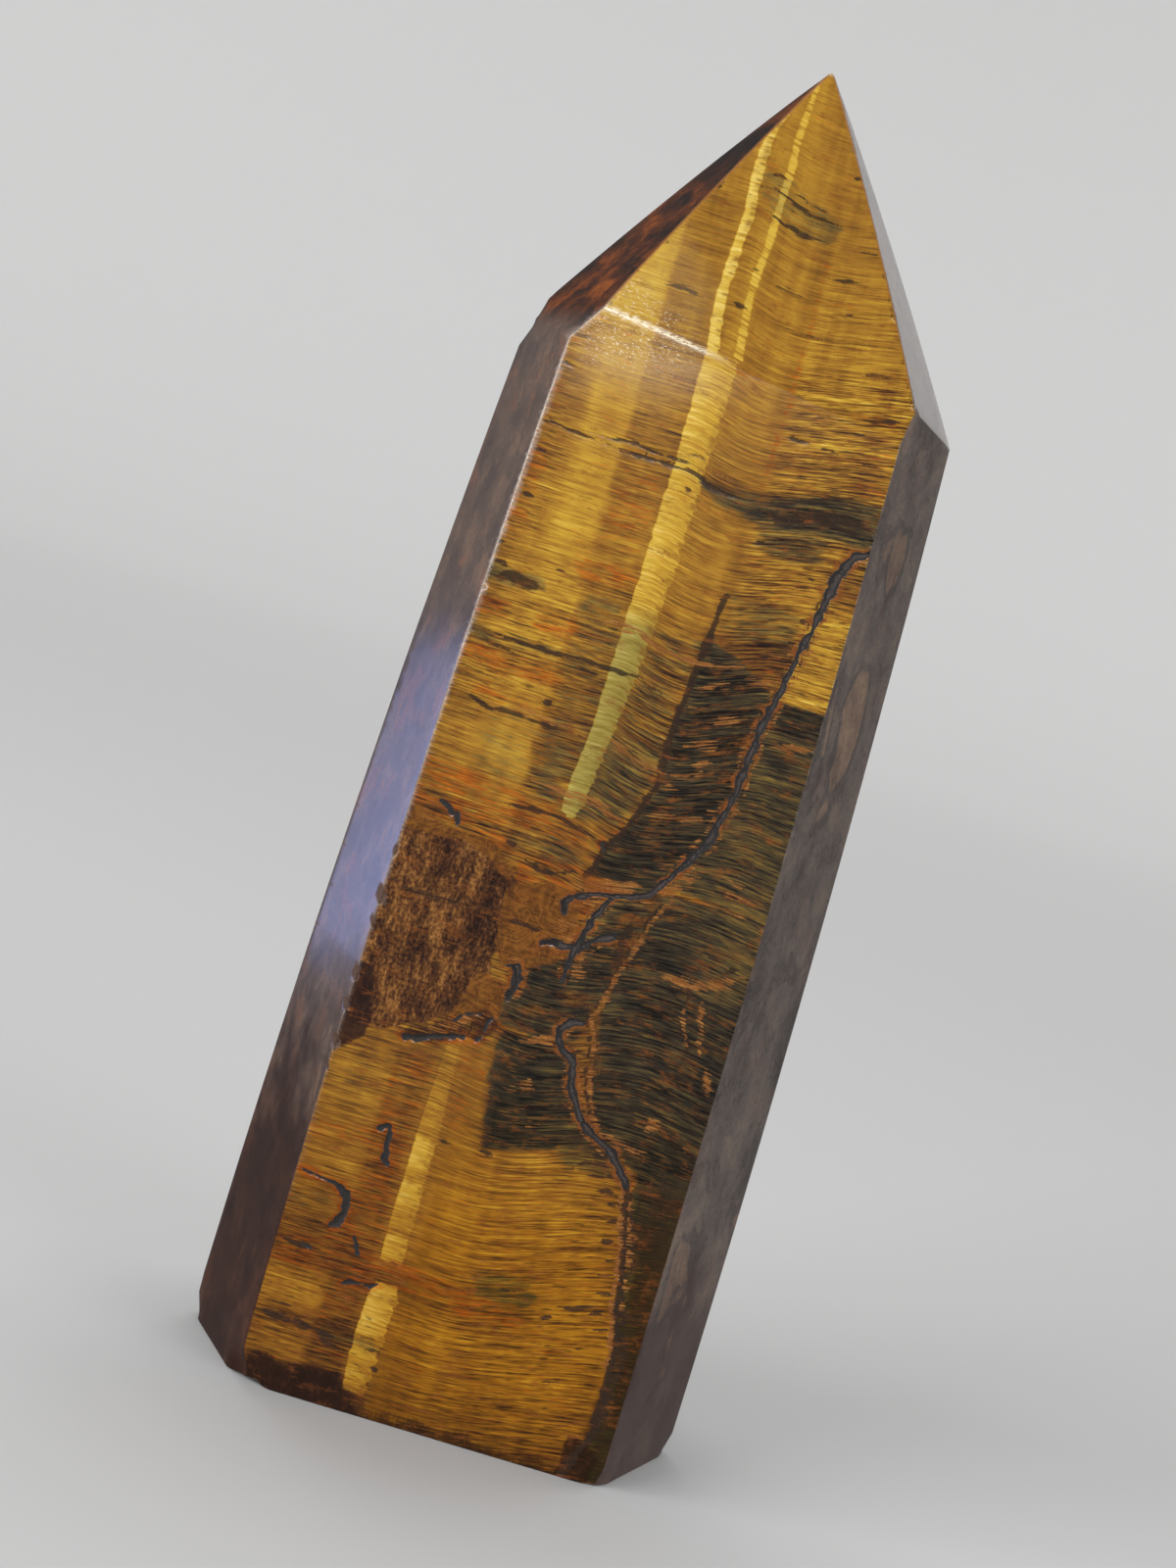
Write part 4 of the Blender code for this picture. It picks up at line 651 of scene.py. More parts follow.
    # chips along the left arris
    chip = np.zeros(len(x))
    ragged = 1 + .45 * wander(x * 2.1, z * 2.7, 76) + .25 * wander(x * 5.0, z * 5.0, 77)
    for height, size in ARRIS_CHIPS:
        away = np.hypot((x - outline(FRONT_LEFT_X, z)) / (size * 1.1), (z - height + .5 * (x - outline(FRONT_LEFT_X, z))) / (size * 1.7)) * ragged
        chip = np.maximum(chip, size * (1 - smooth(.3, 1.0, away)))
    s.f["chip"] = chip * .55
    return s.f


def paint_back(x, z):
    """The same stone on the far side: fibre in layers, with a broad dark band
    and one healed crack. x is measured to the right as seen from behind."""
    s = Sheet(x, z)
    bend = .9 * wander(x * .16, z * .05, 501) + .35 * wander(x * .42, z * .11, 502) + .05 * x
    s.f["along"] = x + 40.0
    s.f["layer"] = z - bend + 130.0
    sway = .5 * wander(0 * x, z * .12, 503) + .2 * wander(0 * x, z * .4, 504)
    c = x - sway
    tone = .5 + .1 * wander(c * .45, z * .02, 505) + .06 * wander(c * 1.3, z * .03, 506)
    s.f["tone"] = tone
    for name, value in (("streak", 1.0), ("rust", .28), ("olive", 0.0), ("iron", 0.0), ("green", 0.0), ("haze_sheen", 0.0),
                        ("dark", 0.0), ("orange", 0.0), ("vein", 4.0), ("pit", 0.0), ("dash", .45), ("sink", 0.0),
                        ("matte_and_glints", 0.0), ("swirl", 0.0), ("maroon", 0.0)):
        s.fill(name, value)
    left = 2.2 + .5 * wander(0 * x, z * .1, 507) - .022 * (z - 50)
    s.f["into"] = np.where((z > 31) & (z < 95), x - left, -9.0)
    s.f["outof"] = np.where((z > 31) & (z < 95), left + 1.7 + .3 * wander(0 * x, z * .25, 508) - x, -9.0)
    s.f["thin"] = .22 - np.abs(x - left + 2.0)
    s.f["fade"] = 1 - .4 * smooth(90, 97, z)
    s.area("olive", [(-14, 47), (-4, 45.4), (1, 46.4), (1.4, 39), (-2, 30), (-5, 27.5), (-14, 28)], 1.0, .95, rough=.6, grain=(.3, 1.2), seed=511)
    s.area("olive", [(1.4, 45.6), (14, 48.2), (14, 44.0), (1.4, 41.8)], 1.2, .8, rough=.4, grain=(.3, 1.2), seed=512)
    s.area("olive", [(-14, 13.5), (14, 17.2), (14, 15.2), (-14, 11.2)], 1.2, .7, rough=.4, grain=(.3, 1.2), seed=513)
    s.area("olive", [(-14, 66.5), (14, 69.6), (14, 68.2), (-14, 65.0)], 1.2, .6, rough=.4, grain=(.3, 1.2), seed=514)
    s.area("tone", [(-14, 47), (-4, 45.4), (1, 46.4), (1.4, 39), (-2, 30), (-5, 27.5), (-14, 28)], 1.6, .2, mode="set", rough=.6, grain=(.3, 1.2), seed=511)
    s.area("tone", [(1.4, 45.6), (14, 48.2), (14, 44.0), (1.4, 41.8)], 1.4, .26, mode="set", rough=.4, grain=(.3, 1.2), seed=512)
    s.area("rust", [(-14, 30), (3, 31), (14, 33), (14, 24), (-14, 22)], 2.0, .58, rough=.6, grain=(.3, 1.0), seed=515)
    s.area("rust", [(-14, 58), (14, 61), (14, 57), (-14, 54)], 1.6, .56, rough=.6, grain=(.3, 1.0), seed=516)
    s.area("iron", [(4.4, 33), (8, 34.2), (14, 33.6), (14, 20.2), (9, 19.0), (5.4, 21.6), (3.6, 26.5)], 1.0, 1.0, rough=.6, grain=(.7, .7), seed=517)
    s.area("swirl", [(1.6, 34.4), (5.4, 34.6), (4.4, 28), (5.8, 20.8), (3.2, 21.4), (1.4, 27)], .9, .9, rough=.4, grain=(.7, .7), seed=518)
    s.area("maroon", [(-14, 2.2), (-4, 1.4), (4, 2.6), (14, 1.6), (14, -1), (-14, -1)], 1.0, .9, rough=.5, grain=(.6, 1.0), seed=519)
    crack = [(-11.8, 61.0, .8), (-9.6, 58.4, 1), (-8.2, 55.0, 1.1), (-6.8, 51.6, 1), (-4.6, 48.4, 1.1), (-3.0, 44.2, 1), (-1.4, 40.6, 1.1), (1.0, 37.2, 1), (3.2, 34.6, .9), (4.6, 31.6, .8)]
    fork = [(-3.2, 44.6, .8), (-4.8, 40.4, 1), (-5.6, 36.0, 1), (-5.2, 31.4, .9), (-6.4, 28.2, .7)]
    for pts in (crack, fork):
        keep, d, wide, part = s.distance(pts, 1.8)
        w = .27 * wide * (1 + .3 * wander(x[keep] * 1.7, z[keep] * 1.7, 520))
        d = np.abs(d + .16 * wander(x[keep] * .9, z[keep] * .9, 521))
        s.f["vein"][keep] = np.minimum(s.f["vein"][keep], d / w)
        s.put("sink", keep, 1 - smooth(.3, 1.2, d / w), .055, "max")
    for pts, half, strength in (
        ([(-12, 70.9), (-6, 71.6), (0, 71.4), (6, 72.2), (12, 72.6)], .15, .95), ([(-12, 24.4), (-5, 24.8), (2, 24.4)], .13, .8), ([(-3, 9.2), (3, 9.8), (9, 9.9)], .13, .8),
        ([(4, 53.2), (8, 53.8), (12, 54.0)], .16, .9), ([(-2, 84), (2, 84.4), (5, 84.2)], .15, .8), ([(-7, 80.5), (-3, 80.9)], .13, .7), ([(6, 62.6), (10, 63.2)], .1, .8), ([(-11, 18.4), (-6, 18.8)], .12, .7),
    ):
        s.stroke("dark", pts, half, .2 + half * .6, strength, rough=.4, taper=.2, seed=int(pts[0][1]))
    for pts, half, strength in (
        ([(-10, 41.8), (-6, 42.4)], .15, .9), ([(-11, 36.2), (-7, 36.8)], .14, .8), ([(2, 50.6), (7, 51.4), (11, 51.6)], .14, .9), ([(-9, 32.6), (-4, 33.2)], .16, .8), ([(-4, 61.6), (2, 62.2)], .13, .8),
    ):
        s.stroke("orange", pts, half, .2 + half * .6, strength, rough=.4, taper=.2, seed=int(pts[0][1]))
    s.f["sink"] += .01 * s.f["dark"] + .012 * (1 + wander(x * .28, z * .33, 522))
    s.f["chip"] = np.zeros(len(x))
    return s.f


# --------------------------------------------------------------------- mesh
def sharp_edges(bm, degrees):
    limit = math.radians(degrees)
    return [e for e in bm.edges if len(e.link_faces) == 2 and e.calc_face_angle(0.0) > limit]


def rough_cut():
    """The column as a loft of rings, ground to its point, with eased arrises."""
    bm = bmesh.new()
    heights = list(np.arange(0.0, 78.1, 3.0)) + [HEIGHT + 3.0]
    rings = [[bm.verts.new([float(c) for c in corner(k, z)] + [z]) for k in range(6)] for z in heights]
    for low, high in zip(rings, rings[1:]):
        for i in range(6):
            j = (i + 1) % 6
            bm.faces.new((low[i], low[j], high[j], high[i]))
    bm.faces.new(list(reversed(rings[0])))
    bm.faces.new(rings[-1])
    bmesh.ops.recalc_face_normals(bm, faces=bm.faces[:])
    for normal, tip in FACETS.values():
        cut = bmesh.ops.bisect_plane(
            bm, geom=bm.verts[:] + bm.edges[:] + bm.faces[:], dist=1e-5,
            plane_co=Vector(tip), plane_no=Vector(normal), clear_outer=True, clear_inner=False)
        rim = [e for e in cut["geom_cut"] if isinstance(e, bmesh.types.BMEdge) and e.is_boundary]
        bmesh.ops.contextual_create(bm, geom=rim)
    bmesh.ops.remove_doubles(bm, verts=bm.verts[:], dist=0.02)
    bmesh.ops.recalc_face_normals(bm, faces=bm.faces[:])
    bmesh.ops.bevel(bm, geom=sharp_edges(bm, 9.0), offset=0.34, segments=3, profile=0.5,
                    affect="EDGES", offset_type="OFFSET", clamp_overlap=True)
    bmesh.ops.triangulate(bm, faces=bm.faces[:])
    bm.verts.index_update()
    points = np.array([v.co[:] for v in bm.verts], float)
    triangles = np.array([[v.index for v in f.verts] for f in bm.faces], np.int64)
    bm.free()
    return points, triangles


def refine(points, triangles, target, rounds):
    """Halve the longest edge of every triangle until none is over target(middle)."""
    for _ in range(rounds):
        n = len(triangles)
        pairs = np.sort(np.concatenate([triangles[:, [0, 1]], triangles[:, [1, 2]], triangles[:, [2, 0]]]), axis=1)
        key = pairs[:, 0] * len(points) + pairs[:, 1]
        _, first, inverse = np.unique(key, return_index=True, return_inverse=True)
        edges = pairs[first]
        of_triangle = inverse.reshape(3, n).T
        a, b = points[edges[:, 0]], points[edges[:, 1]]
        middle = (a + b) / 2.0
        length = np.linalg.norm(a - b, axis=1)
        longest = of_triangle[np.arange(n), np.argmax(length[of_triangle], axis=1)]
        want = length > target(middle)
        split = np.zeros(len(edges), bool)
        split[longest[want[longest]]] = True
        while True:
            before = split.sum()
            split[longest[split[of_triangle].any(axis=1)]] = True
            if split.sum() == before:
                break
        if not split.any():
            break
        new = np.full(len(edges), -1, np.int64)
        new[split] = len(points) + np.arange(split.sum())
        points = np.concatenate([points, middle[split]])
        m = new[of_triangle]
        s = m >= 0
        count = s.sum(axis=1)
        out = [triangles[count == 0]]
        for turn in range(3):
            i, j, k = turn, (turn + 1) % 3, (turn + 2) % 3
            one = (count == 1) & s[:, i]
            t = triangles[one]
            out += [np.stack([t[:, i], m[one, i], t[:, k]], 1), np.stack([m[one, i], t[:, j], t[:, k]], 1)]
            two = (count == 2) & s[:, i] & s[:, j]
            t = triangles[two]
            p, q = m[two, i], m[two, j]
            out.append(np.stack([p, t[:, j], q], 1))
            w = np.linalg.norm(points[t[:, i]] - points[q], axis=1) <= np.linalg.norm(points[p] - points[t[:, k]], axis=1)
            out += [np.stack([t[w, i], p[w], q[w]], 1), np.stack([t[w, i], q[w], t[w, k]], 1)]
            w = ~w
            out += [np.stack([t[w, i], p[w], t[w, k]], 1), np.stack([p[w], q[w], t[w, k]], 1)]
        t, mm = triangles[count == 3], m[count == 3]
        out += [np.stack([t[:, 0], mm[:, 0], mm[:, 2]], 1), np.stack([mm[:, 0], t[:, 1], mm[:, 1]], 1),
                np.stack([mm[:, 2], mm[:, 1], t[:, 2]], 1), np.stack([mm[:, 0], mm[:, 1], mm[:, 2]], 1)]
        triangles = np.concatenate(out)
    return points, triangles


def face_distances(p):
    """Signed distance of every point from each of the six sides (flat and the
    facet over it, whichever is further out), and from the base."""
    out = {}
    for k, name in enumerate(FLATS):
        d, _ = flat_distance(k, p)
        n, tip = FACETS[name]
        out[name] = np.maximum(d, (p - tip) @ n)
    out["base"] = -p[:, 2]
    return out


def fine_lines():
    """The lines that need the finest mesh: points, and how far from them."""
    lines = [([(q[0], q[1]) for q in pts], .6) for pts in [VEIN] + BRANCHES]
    lines += [(FINE_VEIN, .4), (RUST_VEIN, .35), (BOUNDARY, .35)]
    lines += [(pts, half + .3) for pts, half, _ in PITS]
    lines += [(pts, half + .08) for pts, half, _ in DARK_LINES + ORANGE_LINES]
    return lines


def column_mesh():
    points, triangles = rough_cut()
    lines = fine_lines()

    def coarse(p):
        d = face_distances(p)
        others = np.maximum.reduce([d[k] for k in d if k != "front"])
        want = np.full(len(p), 1.6)
        want = np.where(d["front"] > others - .3, .5, want)
        want = np.where((d["back"] > np.maximum.reduce([d[k] for k in d if k != "back"]) - .3), 1.0, want)
        return want

    def fine(p):
        want = coarse(p)
        d = face_distances(p)
        over = d["front"] - np.maximum.reduce([d[k] for k in d if k != "front"])
        front = np.nonzero(over > -.1)[0]
        s = Sheet(p[front, 0], p[front, 2])
        close = np.zeros(len(front), bool)
        for pts, reach in lines:
            keep, dist, _, _ = s.distance(pts, reach + .1)
            close[keep[dist < reach]] = True
        want[front[close]] = .235
        want[(np.abs(over) < .5) & (p[:, 0] < -9) & (p[:, 1] < -10.8) & (p[:, 2] > 20) & (p[:, 2] < 40)] = .24
        want[(np.abs(over) < .2) & (p[:, 0] < -9) & (p[:, 1] < -11.6) & (p[:, 2] > 40)] = .3
        return want

    points, triangles = refine(points, triangles, coarse, 40)
    return refine(points, triangles, fine, 12)


points, triangles = column_mesh()
d = face_distances(points)
front_over = d["front"] - np.maximum.reduce([d[k] for k in d if k != "front"])
back_over = d["back"] - np.maximum.reduce([d[k] for k in d if k != "back"])
left_over = d["left"] - np.maximum.reduce([d[k] for k in d if k != "left"])
right_over = d["right"] - np.maximum.reduce([d[k] for k in d if k != "right"])
base_over = d["base"] - np.maximum.reduce([d[k] for k in d if k != "base"])

x0, z0 = points[:, 0].copy(), points[:, 2].copy()
fields = paint_front(x0, z0)
rear = points[:, 1] > 0
behind = paint_back(-x0[rear], z0[rear])
for name in fields:
    fields[name][rear] = behind[name]

# Worked shape: inward for veins, pits and chips; corners eased by handling.
normal = np.zeros_like(points)
a, b, c = (points[triangles[:, k]] for k in range(3))
facing = np.cross(b - a, c - a)
for k in range(3):
    np.add.at(normal, triangles[:, k], facing)
normal /= np.maximum(np.linalg.norm(normal, axis=1), 1e-9)[:, None]

on_front = smooth(-.5, .1, front_over)
on_back = smooth(-.5, .1, back_over)
sides = 1 - np.maximum(on_front, on_back)
# Grinding leaves the flats very slightly wavy.
wave = .02 * wander(points[:, 1] * .3 + points[:, 0] * .2, points[:, 2] * .16, 601)
moved = points - normal * (fields["sink"] * np.maximum(on_front, on_back) + sides * wave * .5 + fields["chip"] * .55 * smooth(-.9, 0, -np.abs(front_over)))[:, None]


def ease(p, at, radius, depth):
    """Round a corner off: points near it move towards the middle of the stone."""
    at = np.array(at, float)
    r = np.linalg.norm(p - at, axis=1)
    inward = np.array([0.6, 0.0, at[2] - 3.0 if at[2] > 40 else at[2] + 6.0]) - at
    inward /= np.linalg.norm(inward)
    return p + inward * (depth * (1 - smooth(0, radius, r)) ** 1.0)[:, None]


moved = ease(moved, (-14.8, 0, 75.7), 2.2, .55)
moved = ease(moved, (-12.8, -12.3, 0), 2.6, .9)
moved = ease(moved, (13.1, -12.3, 0), 1.6, .35)
moved = ease(moved, (-18, 0, 0), 2.0, .5)
moved = ease(moved, (18, 0, 0), 1.6, .35)
moved = ease(moved, (-12.2, 12.3, 0), 1.8, .4)
moved = ease(moved, (12.6, 12.3, 0), 1.6, .35)
# The point's ridges bow out a little: its facets are ground slightly round.
t = np.clip((HEIGHT - moved[:, 2]) / 23.0, 0, 1)
bow = np.where(moved[:, 2] > 75.2, 1 + .085 * (1 - t) * smooth(0, .1, t), 1.0)
moved[:, 0] = .8 + (moved[:, 0] - .8) * bow
moved[:, 1] *= bow
moved[:, 2] = np.clip(moved[:, 2], 0.0, None)


# ------------------------------------------------------------- texture space
# Six sides, their facets and the base, laid flat side by side. The front has
# the most room, in two pieces, because it has the finest markings.
SCALE = .0132
SMALL = .0070
centre = (points[triangles[:, 0]] + points[triangles[:, 1]] + points[triangles[:, 2]]) / 3.0
dc = face_distances(centre)
names = list(FLATS) + ["base"]
region = np.argmax(np.stack([dc[k] for k in names]), axis=0)
flat_d = {name: flat_distance(k, centre)[0] for k, name in enumerate(FLATS)}
upper = np.zeros(len(centre), bool)
for k, name in enumerate(FLATS):
    n, tip = FACETS[name]
    upper |= (region == k) & ((centre - tip) @ n > flat_d[name])

corner_points = points[triangles]
uv = np.zeros((len(triangles), 3, 2))


def lay(mask, across, up, scale, place, turn=False):
    """Lay the masked triangles flat along two unit directions, at a place."""
    u, v = corner_points[mask] @ np.array(across, float), corner_points[mask] @ np.array(up, float)
    if turn:
        u, v = v, -u
    uv[mask, :, 0] = place[0] + (u - u.min()) * scale
    uv[mask, :, 1] = place[1] + (v - v.min()) * scale
    return (u.max() - u.min()) * scale, (v.max() - v.min()) * scale


room = []
is_front = region == FLATS.index("front")
low_half = centre[:, 2] < 49.0
room.append(lay(is_front & low_half, (1, 0, 0), (0, 0, 1), SCALE, (.006, .006)))
room.append(lay(is_front & ~low_half, (1, 0, 0), (0, 0, 1), SCALE, (.358, .006)))
spots = {"left": (.702, .006), "right": (.802, .006), "back_left": (.902, .006), "back": (.006, .705), "back_right": (.006, .894)}
for name, place in spots.items():
    k = FLATS.index(name)
    x1, y1 = corner(k, 30.0)
    x2, y2 = corner(k + 1, 30.0)
    along = np.array([x2 - x1, y2 - y1, 0.0])
    along /= np.linalg.norm(along)
    size = lay((region == k) & ~upper, along, (0, 0, 1), SMALL, place, turn=name in ("back", "back_right"))
    room.append(size)
tops = {"left": (.56, .705), "right": (.67, .705), "back_left": (.78, .705), "back_right": (.89, .705), "back": (.56, .86)}
for name, place in tops.items():
    n, tip = FACETS[name]
    across = np.cross((0, 0, 1), n)
    across /= np.linalg.norm(across)
    room.append(lay((region == FLATS.index(name)) & upper, across, np.cross(n, across), .0052, place))
room.append(lay(region == names.index("base"), (1, 0, 0), (0, 1, 0), .0052, (.74, .86)))

# ------------------------------------------------------------------ the mesh
mesh = bpy.data.meshes.new("tigers_eye_tower_stone")
mesh.vertices.add(len(moved))
mesh.vertices.foreach_set("co", (moved * MM).astype(np.float32).ravel())
mesh.loops.add(len(triangles) * 3)
mesh.loops.foreach_set("vertex_index", triangles.astype(np.int32).ravel())
mesh.polygons.add(len(triangles))
mesh.polygons.foreach_set("loop_start", np.arange(0, len(triangles) * 3, 3, dtype=np.int32))
mesh.update(calc_edges=True)
mesh.validate(clean_customdata=False)
layer = mesh.uv_layers.new(name="OFBake")
layer.data.foreach_set("uv", uv.astype(np.float32).ravel())
mesh.shade_smooth()


def store(name, *parts):
    values = np.zeros((len(moved), 3), np.float32)
    for k, part in enumerate(parts):
        values[:, k] = part
    mesh.attributes.new(name, "FLOAT_VECTOR", "POINT").data.foreach_set("vector", values.ravel())


store("fibre", fields["along"], fields["layer"], fields["streak"])
store("tone", fields["tone"], fields["rust"], fields["olive"])
store("kind", fields["iron"], fields["green"], fields["haze_sheen"])
store("line", fields["dark"], fields["orange"], fields["vein"])
store("mark", fields["pit"], fields["dash"], fields["maroon"])
store("stripe", fields["into"], fields["outof"], fields["thin"])
# The wear set: the matte zone, which also carries painted glints, the swirls, and how strong the painted stripe sheen
# is.
store("wear", fields["matte_and_glints"], fields["swirl"], fields["fade"])
store("side", front_over, np.maximum(front_over, back_over), left_over)
store("place", x0, points[:, 1], z0)
# Painted highlights along the front's left arris and along its crease.
by_arris = np.exp(-(np.maximum(np.abs(front_over), np.abs(left_over)) / .12) ** 2) * smooth(12, 16, z0) * (.75 + .25 * wander(z0 * 1.4, 0 * z0, 611))
arris_highlight_along = np.interp(z0, (14, 30, 40, 44, 56, 60, 73, 75.5, 77.5, 80), (.1, .2, .3, .5, .8, 1.0, 1.0, .7, .2, 0))
crease = np.exp(-((z0 - np.interp(x0, (-9.3, -5, -2, 1, 6), (76.75, 76.25, 75.85, 75.55, 75.0))) / .13) ** 2) * smooth(-9.6, -9.0, x0) * (1 - smooth(-3.2, .6, x0)) * (front_over > -.1)
store("chips_and_highlights", fields["chip"], by_arris * arris_highlight_along, crease)
tower = bpy.data.objects.new("tigers_eye_tower_stone", mesh)
bpy.context.scene.collection.objects.link(tower)


# ----------------------------------------------------------------- material
def colour(r, g, b):
    """Display values from 0 to 255 as linear light."""
    out = []
    for v in (r, g, b):
        v /= 255.0
        out.append(v / 12.92 if v <= 0.04045 else ((v + 0.055) / 1.055) ** 2.4)
    return (*out, 1.0)


stone = bpy.data.materials.new("tigers_eye")
stone.use_nodes = True
tree = stone.node_tree
tree.nodes.clear()


def link(value, socket):
    if isinstance(value, Value):
        tree.links.new(value.socket, socket)
    else:
        socket.default_value = value


def maths(operation, *inputs, clamp=False):
    node = tree.nodes.new("ShaderNodeMath")
    node.operation = operation
    node.use_clamp = clamp
    for value, socket in zip(inputs, node.inputs):
        link(value, socket)
    return Value(node.outputs[0])


class Value:
    """A number in the node tree, with ordinary arithmetic."""

    def __init__(self, socket):
        self.socket = socket

    def __add__(self, o): return maths("ADD", self, o)
    def __radd__(self, o): return maths("ADD", o, self)
    def __sub__(self, o): return maths("SUBTRACT", self, o)
    def __rsub__(self, o): return maths("SUBTRACT", o, self)
    def __mul__(self, o): return maths("MULTIPLY", self, o)
    def __rmul__(self, o): return maths("MULTIPLY", o, self)
    def __truediv__(self, o): return maths("DIVIDE", self, o)


def lesser(a, b): return maths("MINIMUM", a, b)
def greater(a, b): return maths("MAXIMUM", a, b)
def absolute(a): return maths("ABSOLUTE", a)
def limit(a): return maths("ADD", a, 0.0, clamp=True)


def step(low, high, value, to=(0.0, 1.0)):
    node = tree.nodes.new("ShaderNodeMapRange")
    node.interpolation_type = "SMOOTHSTEP"
    link(value, node.inputs["Value"])
    node.inputs["From Min"].default_value = low
    node.inputs["From Max"].default_value = high
    node.inputs["To Min"].default_value = to[0]
    node.inputs["To Max"].default_value = to[1]
    return Value(node.outputs["Result"])


def attribute(name):
    node = tree.nodes.new("ShaderNodeAttribute")
    node.attribute_type = "GEOMETRY"
    node.attribute_name = name
    split = tree.nodes.new("ShaderNodeSeparateXYZ")
    tree.links.new(node.outputs["Vector"], split.inputs[0])
    return [Value(s) for s in split.outputs]


def vector(x, y, z=0.0):
    node = tree.nodes.new("ShaderNodeCombineXYZ")
    for value, socket in zip((x, y, z), node.inputs):
        link(value, socket)
    return Value(node.outputs[0])


def noise(place, detail=2.0, rough=.5, distortion=0.0, flat=True, spread=3.0):
    """Noise centred on 0. spread widens it about its middle."""
    node = tree.nodes.new("ShaderNodeTexNoise")
    node.noise_dimensions = "2D" if flat else "3D"
    link(place, node.inputs["Vector"])
    node.inputs["Scale"].default_value = 1.0
    node.inputs["Detail"].default_value = detail
    node.inputs["Roughness"].default_value = rough
    node.inputs["Distortion"].default_value = distortion
    return (Value(node.outputs[0]) - .5) * spread


def ramp(value, stops):
    node = tree.nodes.new("ShaderNodeValToRGB")
    link(value, node.inputs[0])
    points = node.color_ramp.elements
    while len(points) > 1:
        points.remove(points[-1])
    points[0].position, points[0].color = stops[0][0], colour(*stops[0][1])
    for place, rgb in stops[1:]:
        points.new(place).color = colour(*rgb)
    return Value(node.outputs[0])


def mix(factor, a, b):
    node = tree.nodes.new("ShaderNodeMix")
    node.data_type = "RGBA"
    link(factor, node.inputs[0])
    for value, socket in ((a, node.inputs[6]), (b, node.inputs[7])):
        link(colour(*value) if isinstance(value, tuple) else value, socket)
    return Value(node.outputs[2])


def shade(value, a):
    """Colour a scaled by a number."""
    node = tree.nodes.new("ShaderNodeVectorMath")
    node.operation = "SCALE"
    link(a, node.inputs[0])
    link(value, node.inputs["Scale"])
    return Value(node.outputs[0])


along, layer_at, streak = attribute("fibre")
tone, rust, olive = attribute("tone")
iron, green, haze_sheen = attribute("kind")
dark, orange, vein = attribute("line")
pit, dash, maroon = attribute("mark")
into, outof, thin = attribute("stripe")
matte_and_glints, swirl, fade = attribute("wear")
side, fibred, left_side = attribute("side")
# arris and glint are painted highlights along the left arris and the crease.
chipped, arris, glint = attribute("chips_and_highlights")
px, py, pz = attribute("place")

# The fibre's own grain, from broad layers to single silky threads.
broad = noise(vector(along * .035, layer_at * .62), 2, .55)
medium = noise(vector(along * .08 + 9.0, layer_at * 2.1), 2, .6)
fine = noise(vector(along * .22 + 3.0, layer_at * 6.2), 2, .72)
silk = noise(vector(along * .9 + 5.0, layer_at * 9.0), 1, .6)
hair = noise(vector(along * .34 + 13.0, layer_at * 6.8 + 2.0), 1, .55)
patch = noise(vector(along * .35 + 21.0, layer_at * 1.0 + 7.0), 2, .55)
flake = noise(vector(along * .5 + 31.0, layer_at * 4.2 + 7.0), 3, .65)
grit = noise(vector(px * 6.5, pz * 6.5, py * 6.5), 2, .6, flat=False)
steps = noise(vector(layer_at * 1.25, 0.37), 2, .6)
teeth = noise(vector(layer_at * 3.4, 4.37), 2, .6)
# Lustre in soft upright columns, stepped a little from layer to layer.
upper_part = step(75.0, 77.0, pz)
columns = noise(vector(px * .8 + steps * .12 + teeth * .10 + fine * .05, layer_at * .06), 2, .6)

wisp = noise(vector(along * .26 + 41.0, layer_at * 9.0 + 1.0), 1, .55)
grain = (broad * .09 + medium * .12 + fine * .21 + silk * .12 - step(.18, .5, hair) * .16 + step(-.2, -.5, hair) * .09 - step(.3, .55, wisp) * .10) * streak + columns * (.05 + upper_part * .05)

# Bright stripes, the chatoyant sheen painted into the colour along the fibre's own bands: crisp, a little stepped on
# the left, toothed on the right.
inward = into + steps * .07 + teeth * .03
outward = outof + steps * .12 + teeth * (.20 - .13 * upper_part)
stripe = step(-.05, .08 + .0, lesser(inward, outward))
glow = step(0.0, 1.9, into, (.86, .72)) + upper_part * .10 + step(26.0, 19.0, pz) * .05 + broad * .05 + medium * .10 + fine * .16 + silk * .10 - step(.3, .5, hair) * .1
thin_stripe = step(-.07, .10, thin + teeth * .08 + steps * .07) * step(-.42, -.1, teeth + .15)
level = tone + grain
level = level + (glow - level) * stripe * fade
level = level + ((.84 + fine * .2) - level) * thin_stripe * fade
level = limit(level)

gold = ramp(level, [(0.0, (34, 21, 15)), (.12, (56, 36, 24)), (.25, (88, 58, 30)), (.38, (121, 82, 31)), (.5, (150, 105, 36)),
                    (.6, (169, 124, 42)), (.7, (188, 145, 46)), (.82, (204, 165, 58)), (.92, (216, 181, 78)), (1.0, (230, 200, 104))])
red = ramp(level, [(0.0, (34, 18, 13)), (.16, (64, 33, 20)), (.34, (108, 58, 23)), (.5, (154, 80, 22)), (.65, (186, 104, 27)), (.85, (206, 140, 46)), (1.0, (210, 160, 64))])
dull = ramp(level, [(0.0, (22, 19, 17)), (.14, (41, 36, 29)), (.26, (58, 50, 37)), (.38, (80, 67, 41)), (.5, (106, 86, 43)), (.65, (138, 111, 50)), (.8, (166, 140, 66)), (1.0, (192, 174, 100))])
pale = ramp(level, [(0.0, (40, 34, 22)), (.4, (98, 84, 40)), (.6, (122, 106, 46)), (.78, (146, 130, 60)), (.92, (166, 150, 78)), (1.0, (182, 168, 96))])
# Small dark ticks down the stripe's right side.
ticks = step(.42, .1, absolute(outof - .12)) * step(-.05, .35, teeth + fine * .3) * fade * step(-.3, 0.0, into)


is_rust = step(.42, .64, rust + (patch * .14 + flake * .34 + fine * .20))
is_olive = step(.38, .62, olive + (patch * .12 + flake * .18 + fine * .20))
body = mix(is_rust * .9, gold, red)
body = mix(is_olive, body, dull)
body = mix(green * stripe, body, pale)
body = mix(ticks * .6, body, (122, 78, 28))
